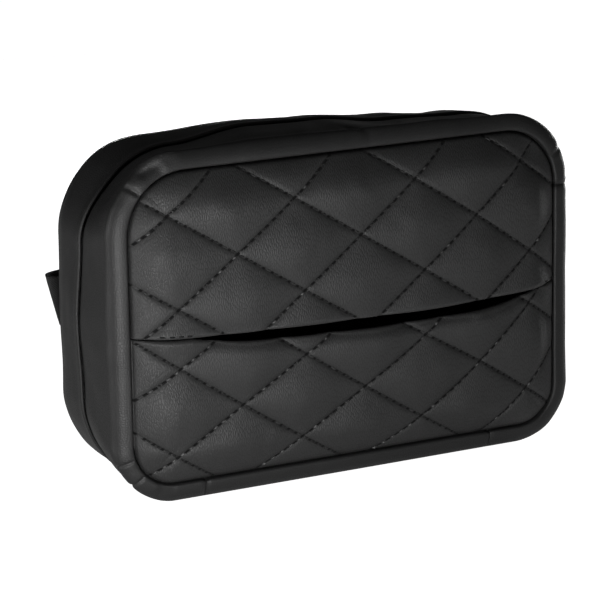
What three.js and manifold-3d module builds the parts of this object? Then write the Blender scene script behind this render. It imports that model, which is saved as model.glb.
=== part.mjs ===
// Car tissue holder: a soft padded box that holds a flat pack of facial tissues.
// The quilted front has an upper and a lower panel with the tissue slot between them. A zip runs round the
// gusset from one bottom corner over the top to the other, so the rear half opens backwards like a lid.
// A webbing strap with a side-release buckle crosses behind the back.
// Millimetres. X points right, Y to the back and Z up. The origin is the middle of the flat underside.

import * as THREE from 'three';
import { mergeVertices } from 'three/addons/utils/BufferGeometryUtils.js';
import Module from 'manifold-3d';

const wasm = await Module();
wasm.setup();

// Body
const seamWidth = 222; // outline of the seam round the front
const seamHeight = 147;
const bottomRightRadius = 20; // corners of the front seam
const topRightRadius = 28;
const topLeftRadius = 30;
const bottomLeftRadius = 22;
const bodyDepth = 60; // front seam to rear seam
const zipDepth = 32; // front seam to zip
const wallRadius = 46; // corner radius of the gusset at the zip
const sideRoll = 8.2; // how far the gusset rolls outside the front seam at the sides and the top
const floorRoll = 8; // and at the bottom
const rollNose = 1.9; // how far the roll stands in front of the seam
const rollReach = 3.9; // the roll's front ends this far outside the seam
const bulgeReach = 10; // for the shares by which the soft walls bulge and sink
const clearance = 0.3; // between pieces that lie against each other
const overrun = 20; // how far a cutting solid passes what it cuts

// Gusset walls
const wall = 3.1; // leather, foam and backing
const lipWall = 1.6; // folded edge along the zip
const lipWidth = 8; // relief under each folded edge, where the slider runs
const lipGap = 1.4; // between the folded edges
const seamFold = 1.2; // leather folded in at a seam
const rollFoot = 9; // how far behind a seam its padded roll ends inside
const spliceInset = 36.5; // seams between the bottom gusset and the side strips, in from the front seam
const spliceHeight = 125; // seam between the left and right front strips
const liningWall = 0.9;

// Front panels
const panelWall = 2.2; // at the sewn channels
const crownHeight = 11;
const edgeRun = 20; // width of the steep edge of the crown
const quiltPuff = 2.6; // height of a diamond above its channels
const quiltFade = 14; // width over which the diamonds flatten at the edge
const diamondWidth = 62;
const diamondHeight = 41.6;
const upperNodeX = 33.2; // where two channels cross, from the middle of the seam outline
const upperNodeZ = 14.2;
const lowerNodeX = 33.7;
const lowerNodeZ = -16.3;
const slotDrop = 1.6; // slot ends below the middle of the seam outline
const slotSag = 2.2; // how much lower the flap edge hangs in its middle
const slotLength = 172;
const slotGap = 6.2;
const lipRoll = 5; // how far the lower panel rolls inwards at the slot
const lipRollRun = 10;
const liningHem = 2.5; // how far the lining stops short of the slot
const liningSlack = 6; // the lining's crown starts this much further in

// Back
const backWall = 2;
const backRise = 3; // flat middle of the back behind the rear seam
const backRun = 12; // width of the slope round it
const boardWall = 2;
const boardInset = 18;

// Seam bindings
const bindingWall = 1.2;
const bindingWidth = 8;

// Zip
const tapeWall = 0.6;
const tapeWidth = 11;
const coilWidth = 2;
const coilHeight = 1.5;
const coilGap = 1.2; // between the two rows, where the slider's wedge runs
const stopLength = 3;
const sliderLength = 11;
const sliderWidth = 9;
const sliderPlate = 0.8;
const wedgeWall = 0.6;
const wedgeLength = 6;
const bridgeWall = 0.8;
const bridgeReach = 5.4; // length of the bridge along the zip
const bridgeRise = 3.8; // height of the bridge above the gusset
const pinRadius = 0.8; // bar of the pull inside the bridge
const pinRoom = 0.5;
const pullLength = 24;
const pullWidth = 8;
const pullWall = 1.6;
const pullWindow = 6;

// Strap and buckle
const strapWidth = 25;
const strapWall = 1.4;
const strapHeight = 81.5; // middle of the strap above the floor
const strapStand = 18; // strap behind the flat back
const strapHold = 15; // sewn end flat on the back
const strapEdge = 97; // where the sewn end leaves the back, from the middle
const bowReach = 18; // how far the bow stands out past the sewn end
const bowTilt = 6.4; // how much further out the bow's top edge stands
const foldLength = 26; // end sewn back on itself at the female half
const tailLength = 48; // free end past the male half
const foldRun = 12; // stretch in which the two layers come together
const buckleLength = 32;
const buckleWidth = 33;
const buckleHeight = 9;
const buckleWall = 1.8;
const buckleSide = 3; // side walls
const buckleEnd = 3; // closed end
const barLength = 3; // webbing bar along the strap
const barHeight = 2.4;
const barReach = 9; // from the body to the far side of the bar
const frameHeight = 4;
const flangeLength = 6; // male half outside the mouth
const flangeHeight = 7;
const tongueWidth = 5;
const tongueHeight = 4;
const prongReach = 22; // inside the mouth
const prongWall = 2.5;
const prongHeight = 4.4;
const prongSpread = 9.25; // middle of a prong's arm from the middle of the buckle
const barbLength = 9.4;
const barbReach = 5;
const windowRoom = 0.9;
const keeperLength = 10;
const keeperWall = 1;
const keeperX = 56; // middle of the keeper from the middle of the buckle

// Mesh fineness
const cornerSteps = 7;
const sideSteps = [2, 4, 2, 2]; // right, top, left, bottom
const quiltSteps = 4; // cells in half a diamond
const edgeSteps = 16;
const bendSteps = 4;
const rimSteps = 4;

// Derived places
const frontY = -bodyDepth / 2;
const rearY = bodyDepth / 2;
const zipY = frontY + zipDepth;
const seamMiddle = floorRoll + seamHeight / 2;
const spliceX = seamWidth / 2 - spliceInset;
const slotZ = seamMiddle - slotDrop;
const seamInset = seamFold + clearance;
const seatInset = seamInset + 2 * clearance + panelWall; // inner edge of the gusset's seat
const seatDepth = panelWall + clearance;
const backSeatDepth = backWall + clearance;
const liningDepth = seatDepth + liningWall + clearance;
const backLiningDepth = backSeatDepth + liningWall + clearance;
const footGap = bindingWall + clearance;
const footEnd = liningDepth + footGap; // where the edge turned in at the front seam ends
const backFlatY = rearY + backRise;
const tapeInset = wall + clearance;
const tapeEnd = coilGap / 2 + coilWidth + clearance; // from the middle of the zip
const tapeStart = tapeEnd + tapeWidth;
const farX = seamWidth / 2 + sideRoll + overrun;
const farY = bodyDepth / 2 + crownHeight + overrun;
const farZ = seamHeight + 2 * floorRoll + overrun;

// How the gusset swells outside the front seam, and how it drops to the floor, along the depth
const sideSwellShares = [
  [0, 0], [0.01, 0.8], [0.03, 0.93], [0.06, 1], [0.1, 1], [0.18, 1.02], [0.34, 1], [0.53, 1],
  [0.72, 1.12], [0.86, 1.1], [0.94, 0.88], [1, 0.58],
];
const floorSwellShares = [
  [0, 0], [0.01, 0.8], [0.03, 0.93], [0.06, 1], [0.9, 1], [0.94, 0.95], [1, 0.65],
];

// How far the soft walls bulge, or sink where a share is negative. A turn counts once round the outline
// from 0 to 8, an arc and a side in turn, from the bottom right corner up. After it come the shares at the
// front roll, at the zip and at the back.
const bulgeShares = [
  [0, 0, 0, 0], [0.5, 0.22, 0, 0], [1, 0.05, 0, 0], [1.5, 0.1, 0, 0], [2, -0.05, 0, 0],
  [2.5, -0.35, -0.26, -0.5], [3, -0.35, -0.56, -0.9], [3.25, -0.15, -0.42, -0.65], [3.5, -0.13, -0.04, -0.38],
  [3.75, -0.1, 0.04, -0.27], [4, -0.06, -0.45, -0.42], [4.5, -0.03, -0.48, -0.18], [5, 0, -0.07, -0.05],
  [5.5, 0, 0.18, 0], [6, 0, 0.06, -0.04], [6.5, -0.55, 0.04, 0.02], [7, 0, 0, 0], [8, 0, 0, 0],
];
const rollPlace = 0.1; // shares of the depth at which the front roll and the back are taken
const backPlace = 0.9;
const edgeCrownShare = 0.6;

function shareAt(table, place) {
  let i = 1;
  while (i < table.length - 1 && table[i][0] < place) {
    i += 1;
  }
  const [startPlace, startShare] = table[i - 1];
  const [endPlace, endShare] = table[i];
  const part = THREE.MathUtils.clamp((place - startPlace) / (endPlace - startPlace), 0, 1);
  return startShare + (endShare - startShare) * part;
}

function ease(part) {
  const kept = THREE.MathUtils.clamp(part, 0, 1);
  return kept * (2 - kept);
}

function smooth(part) {
  const kept = THREE.MathUtils.clamp(part, 0, 1);
  return kept * kept * (3 - 2 * kept);
}

function sideSwellAt(y) {
  return sideRoll * shareAt(sideSwellShares, (y - frontY) / bodyDepth);
}

function floorSwellAt(y) {
  return floorRoll * shareAt(floorSwellShares, (y - frontY) / bodyDepth);
}

// The outer skin has the whole bulge. Inside, the edge turned in behind the front seam stays even.
function bulgeAt(y, turn, outside) {
  const next = bulgeShares.findIndex(([place], i) => i > 0 && place >= turn);
  const [start, ...from] = bulgeShares[next - 1];
  const [end, ...to] = bulgeShares[next];
  const part = smooth((turn - start) / (end - start));
  const [roll, zip, back] = from.map((share, i) => THREE.MathUtils.lerp(share, to[i], part));
  const lipPlace = (zipDepth - lipWidth) / bodyDepth;
  const zipPlace = zipDepth / bodyDepth;
  const depthShares = [
    [0, 0], [rollPlace, roll], [lipPlace, zip], [zipPlace, zip], [backPlace, back], [1, back],
  ];
  const bulge = bulgeReach * shareAt(depthShares, (y - frontY) / bodyDepth);
  return outside ? bulge : bulge * smooth((y - frontY - footEnd) / rollFoot);
}

// The corners, from the bottom right one up, and their radii at the front seam
const corners = [[1, -1], [1, 1], [-1, 1], [-1, -1]];
const seamRadii = [bottomRightRadius, topRightRadius, topLeftRadius, bottomLeftRadius];

// Outline of the body at one depth
function ringAt(y) {
  const swell = sideSwellAt(y);
  return {
    half: seamWidth / 2 + swell,
    top: floorRoll + seamHeight + swell,
    bottom: floorRoll - floorSwellAt(y),
  };
}

function radiusAt(y, [side, level]) {
  const swell = sideSwellAt(y);
  const atSeam = seamRadii[corners.findIndex(([x, z]) => x === side && z === level)];
  const wide = wallRadius + swell - sideSwellAt(zipY);
  return THREE.MathUtils.lerp(atSeam + swell, wide, smooth((y - frontY) / zipDepth));
}

// Stations round the outline: the corners' arcs and the straight sides between them
const stations = [];
corners.forEach((corner, c) => {
  const next = corners[(c + 1) % corners.length];
  for (let i = 0; i <= cornerSteps; i += 1) {
    const part = i / cornerSteps;
    stations.push({ corner, next: corner, part: 0, turn: 2 * c + part, angle: (c - 1 + part) * Math.PI / 2 });
  }
  for (let i = 1; i < sideSteps[c]; i += 1) {
    const part = i / sideSteps[c];
    stations.push({ corner, next, part, turn: 2 * c + 1 + part, angle: c * Math.PI / 2 });
  }
});

function ringPoint(y, inset, station, floorInset = inset, outside = false) {
  const ring = ringAt(y);
  const onArc = (corner) => {
    const [side, level] = corner;
    const radius = Math.max(radiusAt(y, corner) - inset, seamFold);
    const centreZ = level > 0 ? ring.top - inset - radius : ring.bottom + floorInset + radius;
    return [
      side * (ring.half - inset - radius) + radius * Math.cos(station.angle),
      centreZ + radius * Math.sin(station.angle),
    ];
  };
  const [fromX, fromZ] = onArc(station.corner);
  const [toX, toZ] = onArc(station.next);
  const bulge = bulgeAt(y, station.turn, outside);
  return [
    THREE.MathUtils.lerp(fromX, toX, station.part) + bulge * Math.cos(station.angle),
    y,
    THREE.MathUtils.lerp(fromZ, toZ, station.part) + bulge * Math.sin(station.angle),
  ];
}

// Solids
function signedVolume(positions, triangles) {
  let sum = 0;
  for (const [a, b, c] of triangles) {
    const [ax, ay, az] = positions[a];
    const [bx, by, bz] = positions[b];
    const [cx, cy, cz] = positions[c];
    sum += ax * (by * cz - bz * cy) + ay * (bz * cx - bx * cz) + az * (bx * cy - by * cx);
  }
  return sum;
}

function solidFrom(positions, triangles) {
  const outward = signedVolume(positions, triangles) > 0;
  const turned = outward ? triangles : triangles.map(([a, b, c]) => [a, c, b]);
  return new wasm.Manifold(new wasm.Mesh({
    numProp: 3,
    vertProperties: new Float32Array(positions.flat()),
    triVerts: new Uint32Array(turned.flat()),
  }));
}

function solidOf(geometry) {
  const bare = geometry.clone();
  bare.deleteAttribute('normal');
  bare.deleteAttribute('uv');
  const merged = mergeVertices(bare);
  return new wasm.Manifold(new wasm.Mesh({
    numProp: 3,
    vertProperties: merged.attributes.position.array,
    triVerts: new Uint32Array(merged.index.array),
  }));
}

function boxBetween([x0, y0, z0], [x1, y1, z1]) {
  const geometry = new THREE.BoxGeometry(x1 - x0, y1 - y0, z1 - z0);
  geometry.translate((x0 + x1) / 2, (y0 + y1) / 2, (z0 + z1) / 2);
  return solidOf(geometry);
}

// A section given in depth and inset is carried round the whole outline
function ringSolid(section) {
  const count = section.length;
  const positions = stations.flatMap((station) => (
    section.map(([y, inset, floorInset, outside]) => ringPoint(y, inset, station, floorInset, outside))
  ));
  const triangles = [];
  stations.forEach((station, k) => {
    const here = k * count;
    const there = ((k + 1) % stations.length) * count;
    for (let j = 0; j < count; j += 1) {
      const next = (j + 1) % count;
      triangles.push([here + j, there + j, there + next], [here + j, there + next, here + next]);
    }
  });
  return solidFrom(positions, triangles);
}

// A sheet between two surfaces over a grid of X and Z
function sheet(xs, zs, outerY, innerY, risesAcross = () => false) {
  const layers = [outerY, innerY];
  const positions = layers.flatMap((depth) => xs.flatMap((x) => zs.map((z) => [x, depth(x, z), z])));
  const rows = zs.length;
  const back = xs.length * rows;
  const triangles = [];
  for (let i = 0; i + 1 < xs.length; i += 1) {
    for (let j = 0; j + 1 < rows; j += 1) {
      const [a, b, c, d] = [i * rows + j, (i + 1) * rows + j, (i + 1) * rows + j + 1, i * rows + j + 1];
      const cells = risesAcross(i, j) ? [[a, b, c], [a, c, d]] : [[a, b, d], [b, c, d]];
      for (const [p, q, r] of cells) {
        triangles.push([p, q, r], [back + p, back + r, back + q]);
      }
    }
  }
  const rim = [];
  for (let i = 0; i + 1 < xs.length; i += 1) {
    rim.push([i * rows, (i + 1) * rows], [(i + 1) * rows + rows - 1, i * rows + rows - 1]);
  }
  for (let j = 0; j + 1 < rows; j += 1) {
    rim.push([j + 1, j], [(xs.length - 1) * rows + j, (xs.length - 1) * rows + j + 1]);
  }
  for (const [p, q] of rim) {
    triangles.push([q, p, back + p], [q, back + p, back + q]);
  }
  return solidFrom(positions, triangles);
}

// A closed outline in X and Z, carried through the whole depth
function prism(points) {
  const shape = new THREE.Shape(points.map(([x, z]) => new THREE.Vector2(x, z)));
  const geometry = new THREE.ExtrudeGeometry(shape, { depth: 2 * farY, bevelEnabled: false });
  geometry.rotateX(Math.PI / 2);
  geometry.translate(0, farY, 0);
  return solidOf(geometry);
}

function outlinePrism(y, inset) {
  return prism(stations.map((station) => {
    const [x, , z] = ringPoint(y, inset, station);
    return [x, z];
  }));
}

// Everything below a line that runs across the front
function below(line) {
  const points = [[farX, -farZ], [-farX, -farZ]];
  for (let i = 0; i <= edgeSteps; i += 1) {
    const x = (2 * i / edgeSteps - 1) * (seamWidth / 2);
    points.push([x, line(x)]);
  }
  points.splice(2, 0, [-farX, line(-seamWidth / 2)]);
  points.push([farX, line(seamWidth / 2)]);
  return prism(points.reverse());
}

function steps(start, end, count) {
  return Array.from({ length: count + 1 }, (_, i) => start + (end - start) * i / count);
}

// Distance inside the outline at one seam
function edgeDistance(y, x, z) {
  const ring = ringAt(y);
  const middle = (ring.top + ring.bottom) / 2;
  const radius = radiusAt(y, [x < 0 ? -1 : 1, z < middle ? -1 : 1]);
  const across = Math.abs(x) - (ring.half - radius);
  const along = Math.abs(z - middle) - (ring.top - middle - radius);
  const outside = Math.hypot(Math.max(across, 0), Math.max(along, 0));
  return Math.max(0, radius - outside - Math.min(Math.max(across, along), 0));
}

// Group and materials
const group = new THREE.Group();

function finish(color, roughness, metalness = 0) {
  return () => new THREE.MeshStandardMaterial({ color, roughness, metalness });
}

const leather = finish(0x191919, 0.55);
const lining = finish(0x1e1e20, 0.9);
const board = finish(0x2b2b2d, 0.8);
const webbing = finish(0x0c0c0d, 0.85);
const tapeCloth = finish(0x101011, 0.9);
const nylon = finish(0x0e0e0f, 0.5);
const plastic = finish(0x111112, 0.45);
const zinc = finish(0x26272a, 0.35, 0.9);

function add(name, solid, material) {
  const { vertProperties, triVerts } = solid.getMesh();
  const geometry = new THREE.BufferGeometry();
  geometry.setAttribute('position', new THREE.BufferAttribute(vertProperties, 3));
  geometry.setIndex(new THREE.BufferAttribute(triVerts, 1));
  geometry.computeVertexNormals();
  const mesh = new THREE.Mesh(geometry, material());
  mesh.name = name;
  group.add(mesh);
}

// Front panels
function crownAt(x, z, slack) {
  const edge = edgeDistance(frontY, x, z) - seamInset - slack;
  const dome = ease(edge / (seamHeight / 2 - seamInset));
  return crownHeight * (edgeCrownShare * ease(edge / edgeRun) + (1 - edgeCrownShare) * dome);
}

function puffAt(x, z, nodeX, nodeZ) {
  const across = (x - nodeX) / diamondWidth;
  const up = (z - nodeZ) / diamondHeight;
  const puff = Math.abs(Math.sin(Math.PI * (across + up)) * Math.sin(Math.PI * (across - up)));
  return quiltPuff * Math.sqrt(puff) * ease((edgeDistance(frontY, x, z) - seamInset) / quiltFade);
}

function flapEdge(x) {
  return slotZ - slotSag * (1 - Math.min(1, (2 * x / seamWidth) ** 2));
}

function slotShare(x) {
  return Math.max(0, 1 - (2 * x / slotLength) ** 4);
}

function lowerEdge(x) {
  return flapEdge(x) - clearance - slotGap * slotShare(x);
}

function rollAt(x, z, slack) {
  return lipRoll * Math.sqrt(slotShare(x)) * smooth((z + slack - lowerEdge(x)) / lipRollRun + 1);
}

function upperBase(x, z, slack = 0) {
  return frontY - crownAt(x, z, slack);
}

function lowerBase(x, z, slack = 0) {
  return frontY - crownAt(x, z, slack) + rollAt(x, z, slack);
}

// Grid lines that run through the crossings of the channels
function latticeLines(node, cell, low, high) {
  const first = Math.floor((low - node) / cell) - 1;
  const last = Math.ceil((high - node) / cell) + 1;
  const count = last - first + 1;
  return Array.from({ length: count }, (_, i) => ({ place: node + (first + i) * cell, at: first + i }));
}

function quiltedPanel(base, nodeX, nodeZ, low, high) {
  const columns = latticeLines(nodeX, diamondWidth / 2 / quiltSteps, -seamWidth / 2, seamWidth / 2);
  const rows = latticeLines(nodeZ, diamondHeight / 2 / quiltSteps, low, high);
  const period = 2 * quiltSteps;
  const away = (value) => Math.abs(value - period * Math.round(value / period));
  const risesAcross = (i, j) => {
    const falling = away(columns[i].at + rows[j].at + 1);
    const rising = away(columns[i].at - rows[j].at);
    return rising < falling;
  };
  return sheet(
    columns.map((line) => line.place),
    rows.map((line) => line.place),
    (x, z) => base(x, z) - puffAt(x, z, nodeX, nodeZ),
    (x, z) => base(x, z) + panelWall,
    risesAcross,
  ).intersect(outlinePrism(frontY, seamInset));
}

function liningSheet(base, low, high) {
  const xs = steps(-seamWidth / 2, seamWidth / 2, edgeSteps);
  const zs = steps(low, high, edgeSteps / 2);
  const start = panelWall + clearance;
  return sheet(
    xs,
    zs,
    (x, z) => base(x, z, liningSlack) + start,
    (x, z) => base(x, z, liningSlack) + start + liningWall,
  ).intersect(outlinePrism(frontY, seatInset + clearance));
}

const seamTop = floorRoll + seamHeight;
const slotLow = slotZ - slotSag - slotGap - liningHem;

add(
  'front_upper_panel',
  quiltedPanel(upperBase, upperNodeX, seamMiddle + upperNodeZ, slotLow, seamTop).subtract(below(flapEdge)),
  leather,
);
add(
  'front_lower_panel',
  quiltedPanel(lowerBase, lowerNodeX, seamMiddle + lowerNodeZ, floorRoll, slotZ).intersect(below(lowerEdge)),
  leather,
);
add(
  'front_upper_lining',
  liningSheet(upperBase, slotLow, seamTop).subtract(below((x) => flapEdge(x) + liningHem)),
  lining,
);
add(
  'front_lower_lining',
  liningSheet(lowerBase, floorRoll, slotZ).intersect(below((x) => lowerEdge(x) - liningHem)),
  lining,
);

// Gusset strips. A section starts at the seam, follows the outside to the zip and comes back inside.
function outerLine(start, end) {
  const places = sideSwellShares.map(([share]) => frontY + share * bodyDepth);
  const inside = places.filter((y) => y > start && y < end);
  return [start, ...inside, end].map((y) => [y, 0, 0, true]);
}

// A point at a given inset from the outline of a seam
function fromSeam(seamY, behind, inset) {
  const y = seamY + (seamY < 0 ? behind : -behind);
  return [
    y,
    inset + sideSwellAt(y) - sideSwellAt(seamY),
    inset + floorSwellAt(y) - floorSwellAt(seamY),
  ];
}

function seamFoot(seamY, seat, foot) {
  return [
    fromSeam(seamY, foot + rollFoot, 0).fill(wall, 1),
    fromSeam(seamY, foot + footGap, seatInset),
    fromSeam(seamY, seat, seatInset),
    fromSeam(seamY, seat, seamFold),
    fromSeam(seamY, 0, seamFold),
  ];
}

// The front of the roll, which stands before the seam
const nose = [seamFold - clearance, -rollReach].map((inset) => [frontY - rollNose, inset, inset, true]);

const frontStrip = ringSolid([
  ...nose,
  ...outerLine(frontY, zipY - lipGap / 2).slice(1),
  [zipY - lipGap / 2, lipWall],
  [zipY - lipWidth, lipWall],
  [zipY - lipWidth, wall],
  [zipY - tapeStart, wall],
  ...seamFoot(frontY, seatDepth, liningDepth),
]);

const rearStrip = ringSolid([
  ...outerLine(zipY + lipGap / 2, rearY),
  ...seamFoot(rearY, backSeatDepth, backLiningDepth).reverse(),
  [zipY + tapeStart, wall],
  [zipY + lipWidth, wall],
  [zipY + lipWidth, lipWall],
  [zipY + lipGap / 2, lipWall],
]);

const bottomStrip = ringSolid([
  ...nose,
  ...outerLine(frontY, rearY).slice(1),
  ...seamFoot(rearY, backSeatDepth, backLiningDepth).reverse(),
  ...seamFoot(frontY, seatDepth, liningDepth),
]);

// The region between the two splice seams, under the middle of the body
function spliceBlock(gap) {
  return boxBetween([-spliceX - gap, -farY, -farZ], [spliceX + gap, farY, seamMiddle]);
}

// The right-hand side below its splice seam
function rightBlock(gap) {
  return boxBetween([0, -farY, -farZ], [farX, farY, spliceHeight + gap]);
}

const spliceGap = clearance / 2;
const sideStrips = frontStrip.subtract(spliceBlock(spliceGap));
add('gusset_left_top', sideStrips.subtract(rightBlock(spliceGap)), leather);
add('gusset_right', sideStrips.intersect(rightBlock(-spliceGap)), leather);
add('bottom_gusset', bottomStrip.intersect(spliceBlock(-spliceGap)), leather);
add('gusset_rear', rearStrip.subtract(spliceBlock(spliceGap)), leather);

// Linings of the gusset
function liningFoot(seamY, foot, extra) {
  return [
    fromSeam(seamY, foot + rollFoot + clearance, 0).fill(tapeInset + extra, 1),
    fromSeam(seamY, foot + footGap + clearance, seatInset + clearance + extra),
  ];
}

const frontLining = ringSolid([
  [zipY - tapeStart - clearance, tapeInset],
  ...liningFoot(frontY, liningDepth, 0),
  ...liningFoot(frontY, liningDepth, liningWall).reverse(),
  [zipY - tapeStart - clearance, tapeInset + liningWall],
]);
const rearLining = ringSolid([
  [zipY + tapeStart + clearance, tapeInset],
  ...liningFoot(rearY, backLiningDepth, 0),
  ...liningFoot(rearY, backLiningDepth, liningWall).reverse(),
  [zipY + tapeStart + clearance, tapeInset + liningWall],
]);
const bottomLining = ringSolid([
  ...liningFoot(rearY, backLiningDepth, 0),
  ...liningFoot(rearY, backLiningDepth, liningWall).reverse(),
  ...liningFoot(frontY, liningDepth, liningWall),
  ...liningFoot(frontY, liningDepth, 0).reverse(),
]);
add('front_gusset_lining', frontLining.subtract(spliceBlock(spliceGap)), lining);
add('rear_gusset_lining', rearLining.subtract(spliceBlock(spliceGap)), lining);
add('bottom_lining', bottomLining.intersect(spliceBlock(-spliceGap)), lining);

// Bindings over the seams inside
function binding(seamY, depth) {
  return ringSolid([
    fromSeam(seamY, depth, seatInset + clearance),
    fromSeam(seamY, depth, seatInset + clearance + bindingWidth),
    fromSeam(seamY, depth + bindingWall, seatInset + clearance + bindingWidth),
    fromSeam(seamY, depth + bindingWall, seatInset + clearance),
  ]);
}

add('front_seam_binding', binding(frontY, liningDepth), tapeCloth);
add('back_seam_binding', binding(rearY, backLiningDepth), tapeCloth);

// Back: leather skin, stiffening board and lining. The slope starts at the outline that has bulged and sunk,
// whose distance is the least of the distances from its edges.
const backOutline = stations.map((station) => ringPoint(rearY, 0, station));

function backEase(x, z) {
  const distances = backOutline.map(([startX, , startZ], i) => {
    const [endX, , endZ] = backOutline[(i + 1) % backOutline.length];
    const [runX, runZ] = [endX - startX, endZ - startZ];
    return (runX * (z - startZ) - runZ * (x - startX)) / Math.hypot(runX, runZ);
  });
  return ease((Math.min(...distances) - seamInset) / backRun);
}

// Grid lines that follow the slope and the corners of the back
function rimLines(low, high, corner) {
  const slopeEnd = seamInset + backRun;
  const fromEdge = [
    ...steps(0, slopeEnd, rimSteps),
    ...steps(slopeEnd, corner, rimSteps).slice(1),
  ];
  return [...fromEdge.map((edge) => low + edge), ...fromEdge.reverse().map((edge) => high - edge)];
}

const backRing = ringAt(rearY);
const backRadius = radiusAt(rearY, corners[0]);
const backXs = rimLines(-backRing.half, backRing.half, backRadius);
const backZs = rimLines(backRing.bottom, backRing.top, backRadius);
const backLiningRise = backRise - boardWall - clearance;
const backLiningY = rearY - backSeatDepth;

add('back_panel', sheet(
  backXs,
  backZs,
  (x, z) => rearY + backRise * backEase(x, z),
  (x, z) => rearY - backWall + backRise * backEase(x, z),
).intersect(outlinePrism(rearY, seamInset)), leather);
add('back_lining', sheet(
  backXs,
  backZs,
  (x, z) => backLiningY + backLiningRise * backEase(x, z),
  (x, z) => backLiningY - liningWall + backLiningRise * backEase(x, z),
).intersect(outlinePrism(rearY, seatInset + clearance)), lining);

const boardBack = backFlatY - backWall - clearance;
add('back_board', outlinePrism(rearY, boardInset).intersect(boxBetween(
  [-farX, boardBack - boardWall, -farZ],
  [farX, boardBack, farZ],
)), board);

// Zip tapes, coils and end stops
const coilMiddle = tapeInset + tapeWall / 2;
const zipEndX = spliceX + stopLength + 3 * clearance;
const zipBlock = boxBetween([-zipEndX, -farY, -farZ], [zipEndX, farY, seamMiddle]);

function band(places, inset, thickness) {
  const outer = places.map((place) => [zipY + place, inset]);
  const inner = places.map((place) => [zipY + place, inset + thickness]);
  return ringSolid([...outer, ...inner.reverse()]);
}

function coil(side) {
  const near = side * coilGap / 2;
  return band([near, near + side * coilWidth], coilMiddle - coilHeight / 2, coilHeight);
}

const frontTape = band([-tapeEnd, -lipWidth, -tapeStart], tapeInset, tapeWall);
const rearTape = band([tapeStart, lipWidth, tapeEnd], tapeInset, tapeWall);
add('zip_tape_front', frontTape.subtract(zipBlock), tapeCloth);
add('zip_tape_rear', rearTape.subtract(zipBlock), tapeCloth);
add('zip_coil_front', coil(-1).subtract(zipBlock), nylon);
add('zip_coil_rear', coil(1).subtract(zipBlock), nylon);

for (const [name, side] of [['zip_stop_left', -1], ['zip_stop_right', 1]]) {
  const start = side * (spliceX + 2 * clearance);
  const end = side * (zipEndX - clearance);
  add(name, band([-tapeEnd, 0], coilMiddle - coilHeight / 2, coilHeight).intersect(boxBetween(
    [Math.min(start, end), -farY, -farZ],
    [Math.max(start, end), farY, seamMiddle],
  )), zinc);
}

// Slider on the right-hand wall: an outer and an inner plate joined by the wedge between the coils
const zipRing = ringAt(zipY);
const wallX = zipRing.half;
const sliderZ = zipRing.bottom + radiusAt(zipY, corners[0]) + sliderLength / 2 + clearance;
const plateInset = lipWall + clearance;
const innerPlateInset = coilMiddle + coilHeight / 2 + clearance;

function atWall(outset, y, z) {
  return [wallX + outset, zipY + y, sliderZ + z];
}

function wallBox(outer, inner, halfWidth, low, high) {
  return boxBetween(atWall(-inner, -halfWidth, low), atWall(-outer, halfWidth, high));
}

const halfSlider = sliderLength / 2;
const wedgeTop = halfSlider - clearance;
const bridgeHole = pinRadius + pinRoom;
const pinOut = bridgeRise - pinRadius - pinRoom - bridgeWall;
const holeGeometry = new THREE.CylinderGeometry(bridgeHole, bridgeHole, 2 * bridgeWall, 2 * cornerSteps);
holeGeometry.translate(...atWall(pinOut, 0, 0));

const slider = wallBox(plateInset, plateInset + sliderPlate, sliderWidth / 2, -halfSlider, halfSlider)
  .add(wallBox(innerPlateInset, innerPlateInset + sliderPlate, sliderWidth / 2, -halfSlider, halfSlider))
  .add(wallBox(plateInset, innerPlateInset + sliderPlate, wedgeWall / 2, wedgeTop - wedgeLength, wedgeTop))
  .add(wallBox(-bridgeRise, plateInset + sliderPlate, bridgeWall / 2, -bridgeReach / 2, bridgeReach / 2))
  .subtract(solidOf(holeGeometry));
add('zip_slider', slider, zinc);

// Pull: a flat tab whose top bar runs through the bridge, hanging down beside the wall
const windowHalf = bridgeWall / 2 + clearance + pinRoom;
const pinGeometry = new THREE.CylinderGeometry(pinRadius, pinRadius, pullWidth, cornerSteps + 1);
pinGeometry.translate(...atWall(pinOut, 0, 0));
const pullPlate = wallBox(-pinOut - pullWall / 2, -pinOut + pullWall / 2, pullWidth / 2, -pullLength, 0);
const pullHole = wallBox(-pinOut - pullWall, -pinOut + pullWall, windowHalf, -pullWindow, pullWall);
add('zip_pull', pullPlate.subtract(pullHole).add(solidOf(pinGeometry)), zinc);

// Buckle, seen along the strap: the female half on the left, the male half on the right
const strapY = backFlatY + strapStand;
const barRadius = Math.hypot(barLength, barHeight) / 2;
const layerSwing = barRadius + clearance + strapWall / 2;
const buckleY = strapY - layerSwing;
const femaleStart = -buckleLength / 2;
const mouthX = buckleLength / 2;
const flangeStart = mouthX + clearance;
const cavityHalf = buckleWidth / 2 - buckleSide;
const cavityHeight = buckleHeight / 2 - buckleWall;
const armStart = strapWidth / 2 + 2 * clearance;

function buckleBox([x0, x1], halfHeight, [z0, z1]) {
  return boxBetween(
    [Math.min(x0, x1), buckleY - halfHeight, strapHeight + Math.min(z0, z1)],
    [Math.max(x0, x1), buckleY + halfHeight, strapHeight + Math.max(z0, z1)],
  );
}

function webbingFrame(start, direction) {
  const end = start + direction * barReach;
  const half = buckleWidth / 2;
  return buckleBox([start, end], frameHeight / 2, [armStart, half])
    .add(buckleBox([start, end], frameHeight / 2, [-half, -armStart]))
    .add(buckleBox([end - direction * barLength, end], barHeight / 2, [-half, half]));
}

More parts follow.
